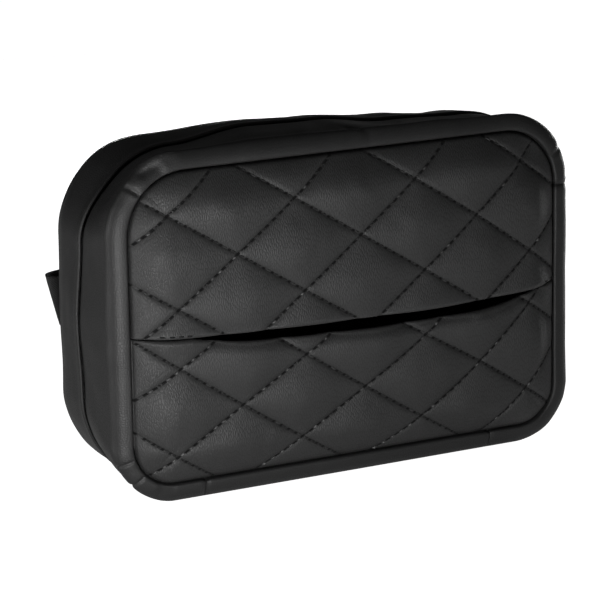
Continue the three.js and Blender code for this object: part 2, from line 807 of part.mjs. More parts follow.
const barbStart = mouthX - clearance - prongReach;
const barbEnd = barbStart + barbLength;
const buckleHalf = buckleWidth / 2;
const windowX = [barbStart - windowRoom, barbEnd + windowRoom];
const windowHeight = cavityHeight + buckleWall / 2;
const female = buckleBox([femaleStart, mouthX], buckleHeight / 2, [-buckleHalf, buckleHalf])
  .add(webbingFrame(femaleStart + clearance, -1))
  .subtract(buckleBox([femaleStart + buckleEnd, mouthX + overrun], cavityHeight, [-cavityHalf, cavityHalf]))
  .subtract(buckleBox(windowX, windowHeight, [cavityHalf - clearance, buckleHalf + overrun]))
  .subtract(buckleBox(windowX, windowHeight, [-buckleHalf - overrun, clearance - cavityHalf]));
add('buckle_female', female, plastic);

const flangeEnd = flangeStart + flangeLength;
const tongueStart = mouthX - prongReach + barbLength / 2;
const male = buckleBox([flangeStart, flangeEnd], flangeHeight / 2, [-buckleHalf, buckleHalf])
  .add(webbingFrame(flangeEnd - clearance, 1))
  .add(buckleBox([tongueStart, flangeEnd], tongueHeight / 2, [-tongueWidth / 2, tongueWidth / 2]));
add('buckle_male', male, plastic);

for (const [name, side] of [['buckle_prong_upper', 1], ['buckle_prong_lower', -1]]) {
  const inner = side * (prongSpread - prongWall / 2);
  const outer = side * (prongSpread + prongWall / 2);
  const arm = buckleBox([barbStart, mouthX - clearance], prongHeight / 2, [inner, outer]);
  const barb = buckleBox([barbStart, barbEnd], prongHeight / 2, [inner, outer + side * barbReach]);
  add(name, arm.add(barb), plastic);
}

// Webbing: a ribbon along a path in X and Y, with a tilt that follows how far it bows out
function ribbon(path, tilt) {
  const low = strapHeight - strapWidth / 2;
  const high = strapHeight + strapWidth / 2;
  const positions = [];
  path.forEach((point, i) => {
    const before = path[Math.max(0, i - 1)];
    const after = path[Math.min(path.length - 1, i + 1)];
    const along = after.clone().sub(before).normalize();
    const sideX = -along.y * strapWall / 2;
    const sideY = along.x * strapWall / 2;
    const lean = tilt(point);
    positions.push(
      [point.x + sideX - lean, point.y + sideY, low],
      [point.x - sideX - lean, point.y - sideY, low],
      [point.x - sideX + lean, point.y - sideY, high],
      [point.x + sideX + lean, point.y + sideY, high],
    );
  });
  const triangles = [];
  for (let i = 0; i + 1 < path.length; i += 1) {
    for (let j = 0; j < 4; j += 1) {
      const [a, b] = [4 * i + j, 4 * i + (j + 1) % 4];
      triangles.push([a, b, b + 4], [a, b + 4, a + 4]);
    }
  }
  const last = 4 * (path.length - 1);
  triangles.push([0, 2, 1], [0, 3, 2], [last, last + 1, last + 2], [last, last + 2, last + 3]);
  return solidFrom(positions, triangles);
}

// The bow at the edge of the back, in shares of its reach and of the strap's stand
const bowShares = [
  [0.45, 0.04], [0.82, 0.2], [1, 0.45], [0.9, 0.74], [0.55, 0.94], [0.1, 1],
];

function strapPath(side, barX, returnLength) {
  const holdY = backFlatY + clearance + strapWall / 2;
  const rise = strapY - holdY;
  const outline = [[strapEdge - strapHold, holdY], [strapEdge, holdY]];
  for (const [outShare, riseShare] of bowShares) {
    outline.push([strapEdge + bowReach * outShare, holdY + rise * riseShare]);
  }
  const start = outline.map(([x, y]) => new THREE.Vector2(side * x, y));
  const bow = new THREE.SplineCurve(start.slice(1)).getPoints(bendSteps * bowShares.length);
  const points = [start[0], ...bow, new THREE.Vector2(side * (barX + foldRun), strapY)];
  for (let i = 0; i <= 2 * bendSteps; i += 1) {
    const angle = Math.PI / 2 + Math.PI * i / (2 * bendSteps);
    points.push(new THREE.Vector2(
      side * (barX + layerSwing * Math.cos(angle)),
      buckleY + layerSwing * Math.sin(angle),
    ));
  }
  const returnY = strapY - strapWall - clearance;
  points.push(new THREE.Vector2(side * (barX + foldRun), returnY));
  points.push(new THREE.Vector2(side * (barX + foldRun + returnLength), returnY));
  return points;
}

function bowLean(side) {
  return (point) => {
    const out = Math.abs(point.x) - strapEdge;
    return side * bowTilt / 2 * smooth(out / bowReach);
  };
}

const femaleBar = -(femaleStart + clearance) + barReach - barLength / 2;
const maleBar = flangeEnd - clearance + barReach - barLength / 2;
add('strap_left', ribbon(strapPath(-1, femaleBar, foldLength - foldRun), bowLean(-1)), webbing);
add('strap_right', ribbon(strapPath(1, maleBar, tailLength), bowLean(1)), webbing);

// Keeper: an elastic loop round both layers of the right strap
const layersMiddle = strapY - (strapWall + clearance) / 2;
const layersHalf = strapWall + clearance / 2;
const keeperIn = [layersHalf + clearance, strapWidth / 2 + clearance];

function keeperBox(grow, length) {
  return boxBetween(
    [keeperX - length / 2, layersMiddle - keeperIn[0] - grow, strapHeight - keeperIn[1] - grow],
    [keeperX + length / 2, layersMiddle + keeperIn[0] + grow, strapHeight + keeperIn[1] + grow],
  );
}

const keeper = keeperBox(keeperWall, keeperLength).subtract(keeperBox(0, keeperLength + overrun));
add('strap_keeper', keeper, webbing);

export default group;
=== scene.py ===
# %% [markdown]
# # Car tissue holder
#
# The real object is a soft box, sewn from foam-backed imitation leather, that is strapped up in a car and
# feeds paper tissues through a slot in its quilted front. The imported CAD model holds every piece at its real
# size. This script dresses that model. Each sewn piece is worked out again as a fine surface that follows the
# same outlines, and the moulded and cast pieces get rounded edges. Everything is in metres, with X to the
# right, Y to the back and Z up.

import math
from collections import namedtuple

import bmesh
import bpy
import numpy as np
from mathutils import Matrix, Vector


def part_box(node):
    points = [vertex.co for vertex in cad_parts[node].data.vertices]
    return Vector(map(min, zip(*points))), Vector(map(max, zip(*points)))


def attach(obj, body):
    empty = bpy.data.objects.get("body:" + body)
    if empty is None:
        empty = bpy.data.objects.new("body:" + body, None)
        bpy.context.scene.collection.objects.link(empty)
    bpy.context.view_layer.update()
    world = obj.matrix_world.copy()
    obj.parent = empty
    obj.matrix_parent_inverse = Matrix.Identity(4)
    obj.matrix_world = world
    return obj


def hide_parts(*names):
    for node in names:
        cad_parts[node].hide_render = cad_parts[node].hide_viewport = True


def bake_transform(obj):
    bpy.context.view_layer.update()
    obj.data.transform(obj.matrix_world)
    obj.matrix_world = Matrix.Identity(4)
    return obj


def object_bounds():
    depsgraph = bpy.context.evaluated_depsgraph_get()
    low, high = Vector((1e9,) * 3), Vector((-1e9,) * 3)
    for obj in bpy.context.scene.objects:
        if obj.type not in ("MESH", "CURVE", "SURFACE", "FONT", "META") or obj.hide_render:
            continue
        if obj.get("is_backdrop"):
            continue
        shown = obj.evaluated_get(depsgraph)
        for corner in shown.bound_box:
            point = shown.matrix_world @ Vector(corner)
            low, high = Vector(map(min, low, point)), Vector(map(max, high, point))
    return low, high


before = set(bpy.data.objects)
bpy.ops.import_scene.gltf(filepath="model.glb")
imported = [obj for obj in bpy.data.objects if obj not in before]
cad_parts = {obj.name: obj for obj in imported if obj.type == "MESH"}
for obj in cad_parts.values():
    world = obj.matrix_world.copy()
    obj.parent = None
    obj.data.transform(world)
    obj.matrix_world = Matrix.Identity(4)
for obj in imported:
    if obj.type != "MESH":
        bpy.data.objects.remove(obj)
cad_bounds = [list(corner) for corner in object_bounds()]
MM = 0.001
print("CAD box in metres:", cad_bounds)

# %% [markdown]
# ## Sizes
#
# The body is a rounded box that lies between two seams. The front seam is the line where the quilted front
# meets the gusset, the long strip round the sides. The places of the seams, the back and the strap are read
# from the CAD pieces, and the walls and rolls are named here.

# %% Sizes of the body
base_low, base_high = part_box("bottom_gusset")
panel_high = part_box("front_upper_panel")[1]

FRONT_Y = base_low.y  # front seam
REAR_Y = base_high.y  # rear seam
BODY_DEPTH = REAR_Y - FRONT_Y
SEAM_INSET = 1.5 * MM  # the CAD panels stop this far inside the seam outline
SEAM_HALF = panel_high.x + SEAM_INSET
SEAM_TOP = panel_high.z + SEAM_INSET
SEAM_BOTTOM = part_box("front_lower_panel")[0].z - SEAM_INSET
SEAM_MIDDLE = (SEAM_TOP + SEAM_BOTTOM) / 2
SEAM_RISE = (SEAM_TOP - SEAM_BOTTOM) / 2
FLOOR_ROLL = SEAM_BOTTOM  # how far the gusset rolls outside the front seam at the bottom
SIDE_ROLL = 8.2 * MM  # and at the sides and the top
ZIP_DEPTH = 32 * MM
ZIP_Y = FRONT_Y + ZIP_DEPTH
WALL_RADIUS = 46 * MM  # corner radius of the gusset at the zip
CORNERS = np.array([[1, -1], [1, 1], [-1, 1], [-1, -1]])  # bottom right, top right, top left, bottom left
SEAM_RADII = np.array([20, 28, 30, 22]) * MM
CLEARANCE = 0.3 * MM
print("seam outline", SEAM_HALF * 2, "by", SEAM_RISE * 2, "metres, body depth", BODY_DEPTH)

# %% Curves that many pieces share


def ease(part):
    """Rises fast from 0 and levels out at 1: twice the part less its square."""
    kept = np.clip(part, 0, 1)
    return kept * (2 - kept)


def smooth(part):
    """Rises from 0 to 1 with level ends: three squares less two cubes."""
    kept = np.clip(part, 0, 1)
    return kept * kept * (3 - 2 * kept)


def bell(part):
    """A bell curve: 1 at 0 and 0.37 at 1."""
    return np.exp(-(part**2))


def through(places, values, at):
    """A smooth curve through points: cubic pieces whose slope at a point is the mean slope around it."""
    places, values = np.asarray(places, float), np.asarray(values, float)
    slopes = np.gradient(values, places)
    i = np.clip(np.searchsorted(places, at) - 1, 0, len(places) - 2)
    width = places[i + 1] - places[i]
    s = np.clip((at - places[i]) / width, 0, 1)
    start = (2 * s**3 - 3 * s**2 + 1) * values[i] + (s**3 - 2 * s**2 + s) * width * slopes[i]
    end = (3 * s**2 - 2 * s**3) * values[i + 1] + (s**3 - s**2) * width * slopes[i + 1]
    return start + end


def unevenness(u, v, cell, seed):
    """Soft random bumps between -1 and 1: random numbers on a square grid of cells, smoothly mixed."""
    values = np.random.default_rng(seed).uniform(-1, 1, (64, 64))
    u, v = np.broadcast_arrays(u / cell, v / cell)
    i, j = np.floor(u).astype(int), np.floor(v).astype(int)
    s, t = smooth(u - i), smooth(v - j)
    corner = lambda a, b: values[(i + a) % 64, (j + b) % 64]
    near = corner(0, 0) * (1 - s) + corner(1, 0) * s
    far = corner(0, 1) * (1 - s) + corner(1, 1) * s
    return near * (1 - t) + far * t


# %% [markdown]
# ## The outline
#
# Everything round the sides, from the leather strips to the zip, follows one family of outlines: a rounded
# rectangle at each depth. `turn` counts once round it from 0 to 8, with an arc and a side in turn, so a strip
# can start and stop anywhere. One formula for all of them keeps neighbours from crossing.

# %% The body's outline at any depth
SIDE_PLACES = [0.09, 0.18, 0.34, 0.53, 0.72, 0.86, 0.92]
SIDE_SHARES = [1.0, 1.02, 1.0, 1.0, 1.12, 1.1, 1.0]
FOOT_END = 5.2 * MM  # the edge turned in behind the front seam ends here
ROLL_FOOT = 9 * MM

# How far the soft walls bulge, in millimetres, or sink where a number is negative: a turn, then the front
# roll, the zip and the back
BULGES = np.array([
    [0, -0.6, 0, 0], [0.25, -1.2, 0, 0], [0.6, 1.9, 0, 0], [1, 0.5, 0, 0], [1.5, 1, 0, 0], [2, -0.5, 0, 0],
    [2.5, -3.5, -2.6, -5], [3, -3.5, -5.6, -9], [3.25, -1.5, -4.2, -6.5], [3.5, -1.3, -0.4, -3.8],
    [3.75, -1, 0.4, -2.7], [4, -0.6, -4.5, -4.2], [4.5, -0.3, -4.8, -1.8], [5, 0, -0.7, -0.5],
    [5.5, 0, 1.8, 0], [6, 0, 0.6, -0.4], [6.5, -5.5, 0.4, 0.2], [7, 0, 0, 0], [7.5, 0, 0, 0], [8, -0.6, 0, 0],
])
ROLL_FORMED = 0.1  # share of the depth at which the front roll's bulge is full
ZIP_FORMED = (0.02, 0.4)  # and between which it turns into the bulge at the zip
BACK_FORMED = 0.9  # and at which the back's is full


def side_out(y):
    """How far the sides and the top stand outside the front seam at depth y."""
    return SIDE_ROLL * through(SIDE_PLACES, SIDE_SHARES, (y - FRONT_Y) / BODY_DEPTH)


def bulge(y, turn, skin):
    """How far the wall has bulged: between the numbers around it, first along the turn and then along the
    depth. skin is 1 outside and 0 inside, where the edge turned in at the front seam stays even."""
    turn = turn % 8
    i = np.clip(np.searchsorted(BULGES[:, 0], turn, side="right") - 1, 0, len(BULGES) - 2)
    part = smooth((turn - BULGES[i, 0]) / (BULGES[i + 1, 0] - BULGES[i, 0]))
    roll, at_zip, back = (BULGES[i, n] + (BULGES[i + 1, n] - BULGES[i, n]) * part for n in (1, 2, 3))
    depth, zip_share = (y - FRONT_Y) / BODY_DEPTH, ZIP_DEPTH / BODY_DEPTH
    amount = roll * smooth(depth / ROLL_FORMED)
    amount = amount + (at_zip - roll) * ease((depth - ZIP_FORMED[0]) / (ZIP_FORMED[1] - ZIP_FORMED[0]))
    amount = amount + (back - at_zip) * smooth((depth - zip_share) / (BACK_FORMED - zip_share))
    return amount * MM * (skin + (1 - skin) * smooth((y - FRONT_Y - FOOT_END) / ROLL_FOOT))


def outline(y, side, floor, skin, turn):
    """A point of the outline at depth y. An arc's point is its centre plus its radius along the turned angle,
    and a side's point lies between the ends of its two arcs. side and floor are how far the outline stands
    outside the front seam, at the sides and top and at the bottom."""
    y, side, floor, skin, turn = np.broadcast_arrays(y, side, floor, skin, turn)
    span = np.floor(turn).astype(int) % 8
    part = turn - np.floor(turn)
    on_arc = span % 2 == 0
    corner = span // 2
    angle = (corner - 1 + np.where(on_arc, part, 1)) * math.pi / 2
    half, top, bottom = SEAM_HALF + side, SEAM_TOP + side, SEAM_BOTTOM - floor
    widening = smooth((y - FRONT_Y) / ZIP_DEPTH)

    def arc_point(c):
        at_seam = SEAM_RADII[c]
        radius = np.maximum(at_seam + (WALL_RADIUS - SIDE_ROLL - at_seam) * widening + side, MM)
        centre_z = np.where(CORNERS[c, 1] > 0, top - radius, bottom + radius)
        x = CORNERS[c, 0] * (half - radius) + radius * np.cos(angle)
        return x, centre_z + radius * np.sin(angle)

    from_x, from_z = arc_point(corner)
    to_x, to_z = arc_point((corner + span % 2) % 4)
    along = np.where(on_arc, 0, part)
    moved = bulge(y, turn, skin)
    x = from_x + (to_x - from_x) * along + moved * np.cos(angle)
    z = from_z + (to_z - from_z) * along + moved * np.sin(angle)
    return np.stack([x, y, z], axis=-1)


def running_length(points, axis=0, closing=False):
    """Mean length along one axis of a grid of points, from its first row."""
    if closing:
        points = np.concatenate([points, np.take(points, [0], axis)], axis)
    means = np.linalg.norm(np.diff(points, axis=axis), axis=-1).mean(axis=1 - axis)
    return np.concatenate([[0], np.cumsum(means)])


TURNS = np.linspace(-3, 11, 5601)
LENGTHS = running_length(outline(ZIP_Y, SIDE_ROLL, FLOOR_ROLL, 1, TURNS)[:, None])
LENGTHS -= np.interp(0, TURNS, LENGTHS)
print("length round the zip:", round(np.interp(8, TURNS, LENGTHS), 4), "metres")


def spread(first, last, step):
    """Turns from first to last, an even step of length apart. first and last may differ along a section."""
    start, end = (np.interp(np.atleast_1d(turn), TURNS, LENGTHS) for turn in (first, last))
    count = int(np.ceil((end - start).max() / step)) + 1
    return np.interp(start + (end - start) * np.linspace(0, 1, count)[:, None], LENGTHS, TURNS)


def turn_where(section, axis, value, low, high):
    """For each point of a section, the turn between low and high at which it crosses a plane."""
    turns = np.linspace(low, high, 600)
    track = outline(*section.T, turns[:, None])[:, :, axis]
    return np.array([np.interp(value, track[:, k], turns) for k in range(len(section))])


# %% [markdown]
# ## Meshes
#
# A sewn strip, a panel or a strap is a closed cross-section that is carried along a line. All of them come
# from one function that takes the points as a grid: one row for each place along the line. It also measures
# the grid and stores the lengths as the UV map, so a leather grain or a weave keeps its true scale on every
# piece.

# %% From a grid of points to a closed mesh


def linked(name, data):
    """A new object with this data, in the scene."""
    made = bpy.data.objects.new(name, data)
    bpy.context.scene.collection.objects.link(made)
    return made


def polygon_mesh(name, vertices, corners, sizes, uv):
    """A mesh from arrays: all polygons' corners in one list, each one's size, and a UV for each corner."""
    mesh = bpy.data.meshes.new(name)
    mesh.vertices.add(len(vertices))
    mesh.vertices.foreach_set("co", np.asarray(vertices, np.float32).ravel())
    mesh.loops.add(len(corners))
    mesh.loops.foreach_set("vertex_index", np.asarray(corners, np.int32))
    mesh.polygons.add(len(sizes))
    mesh.polygons.foreach_set("loop_start", np.concatenate([[0], np.cumsum(sizes)[:-1]]).astype(np.int32))
    mesh.uv_layers.new(name="UVMap")
    mesh.uv_layers[0].uv.foreach_set("vector", np.asarray(uv, np.float32).ravel())
    mesh.update(calc_edges=True)
    mesh.shade_smooth()
    return linked(name, mesh)


def unit(vectors):
    """Vectors at length 1, along the last axis."""
    return vectors / np.maximum(np.linalg.norm(vectors, axis=-1, keepdims=True), 1e-12)


def volume_sign(vertices, quads):
    """Positive where the quads face outwards: a sum of corner, corner and diagonal products."""
    a, b, c, d = (vertices[quads[:, n]] for n in range(4))
    return np.sum(np.einsum("ij,ij->i", a, np.cross(b, c)) + np.einsum("ij,ij->i", a, np.cross(c, d)))


def grid_corners(columns, rows):
    """The four corners of each cell of a grid, as column numbers and row numbers."""
    i, k = np.meshgrid(np.arange(columns), np.arange(rows), indexing="ij")
    return i.reshape(-1, 1) + [0, 0, 1, 1], k.reshape(-1, 1) + [0, 1, 1, 0]


def carried(name, points, closed=False):
    """A closed mesh from points[i, k], point k of cross-section i. closed joins the last section to the
    first, and otherwise both ends get a cap."""
    count, rows, _ = points.shape
    vertices = points.reshape(-1, 3)
    at_i, at_k = grid_corners(count if closed else count - 1, rows)
    quads = (at_i % count) * rows + at_k % rows
    along, across = running_length(points, 0, closed), running_length(points, 1, True)
    uv = np.stack([along[at_i], across[at_k]], axis=-1)
    if volume_sign(vertices - vertices.mean(axis=0), quads) < 0:
        quads, uv = quads[:, ::-1], uv[:, ::-1]
    corners, sizes, uv = quads.ravel(), np.full(len(quads), 4), uv.reshape(-1, 2)
    if not closed:
        ring = np.arange(rows)
        first, last = (ring[::-1], ring) if quads[0, 1] == quads[0, 0] + 1 else (ring, ring[::-1])
        ends = np.concatenate([first, last + (count - 1) * rows])
        corners = np.concatenate([corners, ends])
        sizes = np.concatenate([sizes, [rows, rows]])
        uv = np.concatenate([uv, vertices[ends][:, 1:]])
    return polygon_mesh(name, vertices, corners, sizes, uv)


def merged(data):
    """A mesh opened for editing, in which vertices at one place have become one."""
    shape = bmesh.new()
    shape.from_mesh(data)
    bmesh.ops.remove_doubles(shape, verts=shape.verts, dist=MM / 1000)
    return shape


def points_at(x, y, z):
    """Points from their coordinates, each an array or one number for all."""
    return np.stack(np.broadcast_arrays(x, y, z), axis=-1)


def outward(points, inside):
    """Unit normals of a grid of points that point away from a place inside."""
    normals = unit(np.cross(np.gradient(points, axis=0), np.gradient(points, axis=1)))
    facing = np.einsum("...j,...j->...", normals, points - inside).mean()
    return normals if facing > 0 else -normals


def stored(piece, name, values):
    """Keeps one number for each vertex as an attribute that materials can read."""
    attribute = piece.data.attributes.new(name, "FLOAT", "POINT")
    attribute.data.foreach_set("value", np.asarray(values, np.float32).ravel())


BENT = ("pouch", "cover")  # for cloth and leather that bends between the two halves when the lid opens


def placed(piece, body, material, slot, *nodes):
    """Gives a piece its material and its body, and hides the CAD nodes that it stands for. A piece that bends
    between the two halves is baked in place and gets no body.
    """
    piece.data.materials.clear()
    piece.data.materials.append(material)
    if body == BENT:
        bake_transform(piece)
    else:
        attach(piece, body)
    if nodes:
        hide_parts(*nodes)
    print(f"{piece.name}: {len(piece.data.polygons)} faces")
    return piece


# %% [markdown]
# ## Materials
#
# Real materials are mostly relief. Pebbled imitation leather, twill webbing and woven tape all come from
# shader node groups that turn a length map into a height, which feeds a Bump node, and a mask of painted
# shade for the hollows. The groups are built once and placed in each material with its own scale.

# %% Helpers for shader nodes


def shader_node(tree, kind, inputs=(), **settings):
    """Adds a node. inputs maps a socket's name or number to a value or to another node's output."""
    made = tree.nodes.new(kind)
    for name, value in settings.items():
        setattr(made, name, value)
    for key, value in dict(inputs).items():
        if isinstance(value, bpy.types.NodeSocket):
            tree.links.new(value, made.inputs[key])
        else:
            made.inputs[key].default_value = value
    return made


def math_node(tree, operation, *values):
    return shader_node(tree, "ShaderNodeMath", enumerate(values), operation=operation).outputs[0]


def times(tree, first, second):
    return math_node(tree, "MULTIPLY", first, second)


def times_plus(tree, first, second, added):
    return math_node(tree, "MULTIPLY_ADD", first, second, added)


def vector_node(tree, operation, *values):
    return shader_node(tree, "ShaderNodeVectorMath", enumerate(values), operation=operation).outputs[0]


def ramp_node(tree, value, low, high, start=0.0, end=1.0):
    """A smooth step of a value from low to high."""
    return shader_node(
        tree,
        "ShaderNodeMapRange",
        {"Value": value, "From Min": low, "From Max": high, "To Min": start, "To Max": end},
        interpolation_type="SMOOTHSTEP",
    ).outputs["Result"]


def noise_node(tree, place, scale, detail, output=0):
    return shader_node(
        tree, "ShaderNodeTexNoise", {"Vector": place, "Scale": scale, "Detail": detail}
    ).outputs[output]


def attribute_node(tree, name):
    return shader_node(tree, "ShaderNodeAttribute", attribute_name=name).outputs["Fac"]


def counted_in(tree, place, *sizes):
    """A place in units of the three sizes."""
    size = shader_node(tree, "ShaderNodeCombineXYZ", enumerate(sizes)).outputs[0]
    return vector_node(tree, "DIVIDE", place, size)


def mixed_colour(tree, mask, first, second):
    """A colour between two others. A Mix node's colours are its sockets 6 and 7, and its output 2."""
    mix = {0: mask, 6: first, 7: second}
    return shader_node(tree, "ShaderNodeMix", mix, data_type="RGBA").outputs[2]


def feed(tree, sockets, **values):
    """Links outputs to sockets by name, where an underscore stands for a space."""
    for name, value in values.items():
        tree.links.new(value, sockets[name.replace("_", " ")])


def new_group(name, numbers, outputs):
    """An empty shader group that takes a vector and numbers, each with its default, and gives numbers."""
    tree = bpy.data.node_groups.new(name, "ShaderNodeTree")
    tree.interface.new_socket(name="Vector", in_out="INPUT", socket_type="NodeSocketVector")
    for label, default in numbers.items():
        socket = tree.interface.new_socket(name=label, in_out="INPUT", socket_type="NodeSocketFloat")
        socket.default_value = default
    for label in outputs:
        tree.interface.new_socket(name=label, in_out="OUTPUT", socket_type="NodeSocketFloat")
    return tree, tree.nodes.new("NodeGroupInput").outputs, tree.nodes.new("NodeGroupOutput").inputs


# %% [markdown]
# Imitation leather is rolled with a plate of small pebbles, drawn out a little in one direction. The cells of
# a Voronoi texture are such pebbles, and the distance to a cell's edge gives the creases between them.

# %% Leather grain
def make_grain():
    """Pebbles: cells divided by creases, warped by noise, with finer noise on top."""
    numbers = {"Pebble": 1.2 * MM, "Stretch": 1.5}
    tree, given, result = new_group("leather_grain", numbers, ["Height", "Crease", "Mottle"])
    pebble = given["Pebble"]
    long_pebble = times(tree, pebble, given["Stretch"])
    place = counted_in(tree, given["Vector"], pebble, long_pebble, pebble)
    offset = vector_node(tree, "SUBTRACT", noise_node(tree, place, 0.6, 2.0, "Color"), (0.5, 0.5, 0.5))
    warped = vector_node(tree, "MULTIPLY_ADD", offset, (0.9, 0.9, 0.9), place)
    cells = shader_node(
        tree, "ShaderNodeTexVoronoi", {"Vector": warped, "Scale": 1.0}, feature="DISTANCE_TO_EDGE",
        voronoi_dimensions="2D",
    ).outputs["Distance"]
    broad = noise_node(tree, place, 0.16, 3.0)
    rounded = ramp_node(tree, cells, 0.0, 0.32)
    height = times_plus(tree, noise_node(tree, place, 3.0, 3.0), 0.25, rounded)
    feed(
        tree,
        result,
        Height=times_plus(tree, broad, 0.6, height),
        # the creases' mask, used as painted shade in the hollows between pebbles
        Crease=math_node(tree, "SUBTRACT", 1.0, ramp_node(tree, cells, 0.0, 0.14)),
        Mottle=broad,
    )
    return tree


grain_group = make_grain()


# %% [markdown]
# Cloth is threads that pass over and under. For twill each thread skips two, so the surface shows slanting
# ribs. A wave along the diagonal makes the ribs and a second wave cuts them into the separate floats.

# %% Woven cloth
def make_weave():
    """Slanting ribs crossed by finer waves. Slant 1 gives twill and 0 straight ribs."""
    numbers = {"Thread": 1.1 * MM, "Slant": 1.0}
    tree, given, result = new_group("woven_ribs", numbers, ["Height", "Gap", "Fuzz"])
    place = shader_node(tree, "ShaderNodeSeparateXYZ", {0: given["Vector"]}).outputs
    thread = given["Thread"]

    def wave(along, share):
        """Rounded ridges along a length: the size of a sine."""
        turns = math_node(tree, "DIVIDE", times(tree, along, math.tau), thread)
        return math_node(tree, "ABSOLUTE", math_node(tree, "SINE", times(tree, turns, share)))

    rib = wave(times_plus(tree, place["Y"], given["Slant"], place["X"]), 0.5)
    fuzz = noise_node(tree, counted_in(tree, given["Vector"], thread, thread, thread), 2.0, 3.0)
    woven = times_plus(tree, wave(place["Y"], 0.75), 0.35, rib)
    feed(
        tree,
        result,
        Height=times_plus(tree, fuzz, 0.3, woven),
        # the mask of the gaps between threads, used as painted shade
        Gap=math_node(tree, "SUBTRACT", 1.0, ramp_node(tree, rib, 0.05, 0.5)),
        Fuzz=fuzz,
    )
    return tree


weave_group = make_weave()


# %% [markdown]
# Moulded plastic and painted metal are smooth, but never perfectly: they carry a faint orange peel and fine
# scuffs, which break up the highlights.

# %% Moulded and painted surfaces
def make_scuffs():
    """Fine peel for the height and long thin streaks for the scuffs."""
    tree, given, result = new_group("fine_scuffs", {"Size": 0.6 * MM}, ["Height", "Scuff"])
    place = counted_in(tree, given["Vector"], *[given["Size"]] * 3)
    streaks = noise_node(tree, vector_node(tree, "MULTIPLY", place, (0.08, 0.9, 0.5)), 1.0, 5.0)
    feed(tree, result, Height=noise_node(tree, place, 1.0, 2.0), Scuff=ramp_node(tree, streaks, 0.55, 0.75))
    return tree


scuff_group = make_scuffs()

# %% Helpers for whole materials


def group_node(tree, group, inputs):
    return shader_node(tree, "ShaderNodeGroup", inputs, node_tree=group).outputs


def grey(level):
    return (level, level, level, 1)


def principled(material):
    return next(n for n in material.node_tree.nodes if n.type == "BSDF_PRINCIPLED")


def new_material(name, roughness, specular=0.5, sheen=0.0, metallic=0.0):
    """A material with its Principled shader. Values that are the same all over sit on the shader."""
    material = bpy.data.materials.new(name)
    material.use_nodes = True
    shader = principled(material)
    names = ("Roughness", "Specular IOR Level", "Sheen Weight", "Metallic")
    for name, value in zip(names, (roughness, specular, sheen, metallic)):
        shader.inputs[name].default_value = value
    return material, material.node_tree, shader


def relief(tree, shader, height, distance, strength=1.0):
    """Feeds a height to the shader's normal. distance is the relief's depth in metres."""
    bump = shader_node(tree, "ShaderNodeBump", {"Height": height, "Distance": distance, "Strength": strength})
    tree.links.new(bump.outputs["Normal"], shader.inputs["Normal"])


def length_map(tree):
    return shader_node(tree, "ShaderNodeUVMap", uv_map="UVMap").outputs["UV"]


# %% Leather
def leather_material(name, level, pebble, stretch, depth, roughness):
    """Pebbled black imitation leather. Creases get painted shade, and rubbed edges are lighter and smoother,
    as wear and as a painted highlight.
    """
    material, tree, shader = new_material(name, roughness, specular=0.45)
    grain = group_node(tree, grain_group, {"Vector": length_map(tree), "Pebble": pebble, "Stretch": stretch})
    wear_and_highlight = attribute_node(tree, "wear_and_highlight")
    mottled = mixed_colour(tree, grain["Mottle"], grey(level * 0.86), grey(level * 1.14))
    # painted shade in the grain's creases
    crease = times(tree, grain["Crease"], 0.45)
    crease_shaded = mixed_colour(tree, crease, mottled, grey(level * 0.35))
    # rubbed edges are lighter: wear, and a painted highlight
    worn_and_lit = mixed_colour(tree, times(tree, wear_and_highlight, 0.5), crease_shaded, grey(level * 1.9))
    smoothed = times_plus(tree, wear_and_highlight, -0.08, roughness)
    rough = times_plus(tree, grain["Crease"], 0.15, smoothed)
    feed(tree, shader.inputs, Base_Color=worn_and_lit, Roughness=rough)
    relief(tree, shader, grain["Height"], depth)
    return material


def add_sewn_lines(material):
    """Paints shade into quilted leather along its two families of lines, in a thin crease and in the holes
    between the stitches, and dents it there. Each family's place is an attribute that is whole on a line, and
    the other family's place counts the stitches along it."""
    tree, sockets = material.node_tree, principled(material).inputs
    places = [attribute_node(tree, name) for name in ("falling", "rising")]
    shade_masks = []
    for place, along, dash in ((*places, FALLING_DASH), (*places[::-1], RISING_DASH)):
        distance = math_node(tree, "PINGPONG", place, 0.5)
        crease = ramp_node(tree, distance, CREASE_WIDTH / LINE_SPACING, 0.2 * CREASE_WIDTH / LINE_SPACING)
        beside = ramp_node(tree, distance, HOLE_WIDTH / LINE_SPACING, 0.4 * HOLE_WIDTH / LINE_SPACING)
        from_hole = math_node(tree, "PINGPONG", times(tree, along, STITCHES), 0.5)
        between = ramp_node(tree, from_hole, 0.5 * (1 - dash), 0.3 * (1 - dash))
        hole = times(tree, beside, between)
        shade_masks.append(math_node(tree, "MAXIMUM", times(tree, crease, CREASE_SHADE), hole))
    sewn_shade = math_node(tree, "MAXIMUM", *shade_masks)
    colour, rough, normal = (sockets[name].links[0] for name in ("Base Color", "Roughness", "Normal"))
    feed(
        tree,
        sockets,
        # near-black painted shade in the crease and the holes
        Base_Color=mixed_colour(tree, sewn_shade, colour.from_socket, grey(0.0015)),
        Roughness=math_node(tree, "MAXIMUM", rough.from_socket, sewn_shade),
    )
    bump = normal.from_node.inputs
    height = bump["Height"].links[0].from_socket
    feed(tree, bump, Height=times_plus(tree, sewn_shade, -HOLE_DEPTH, height))


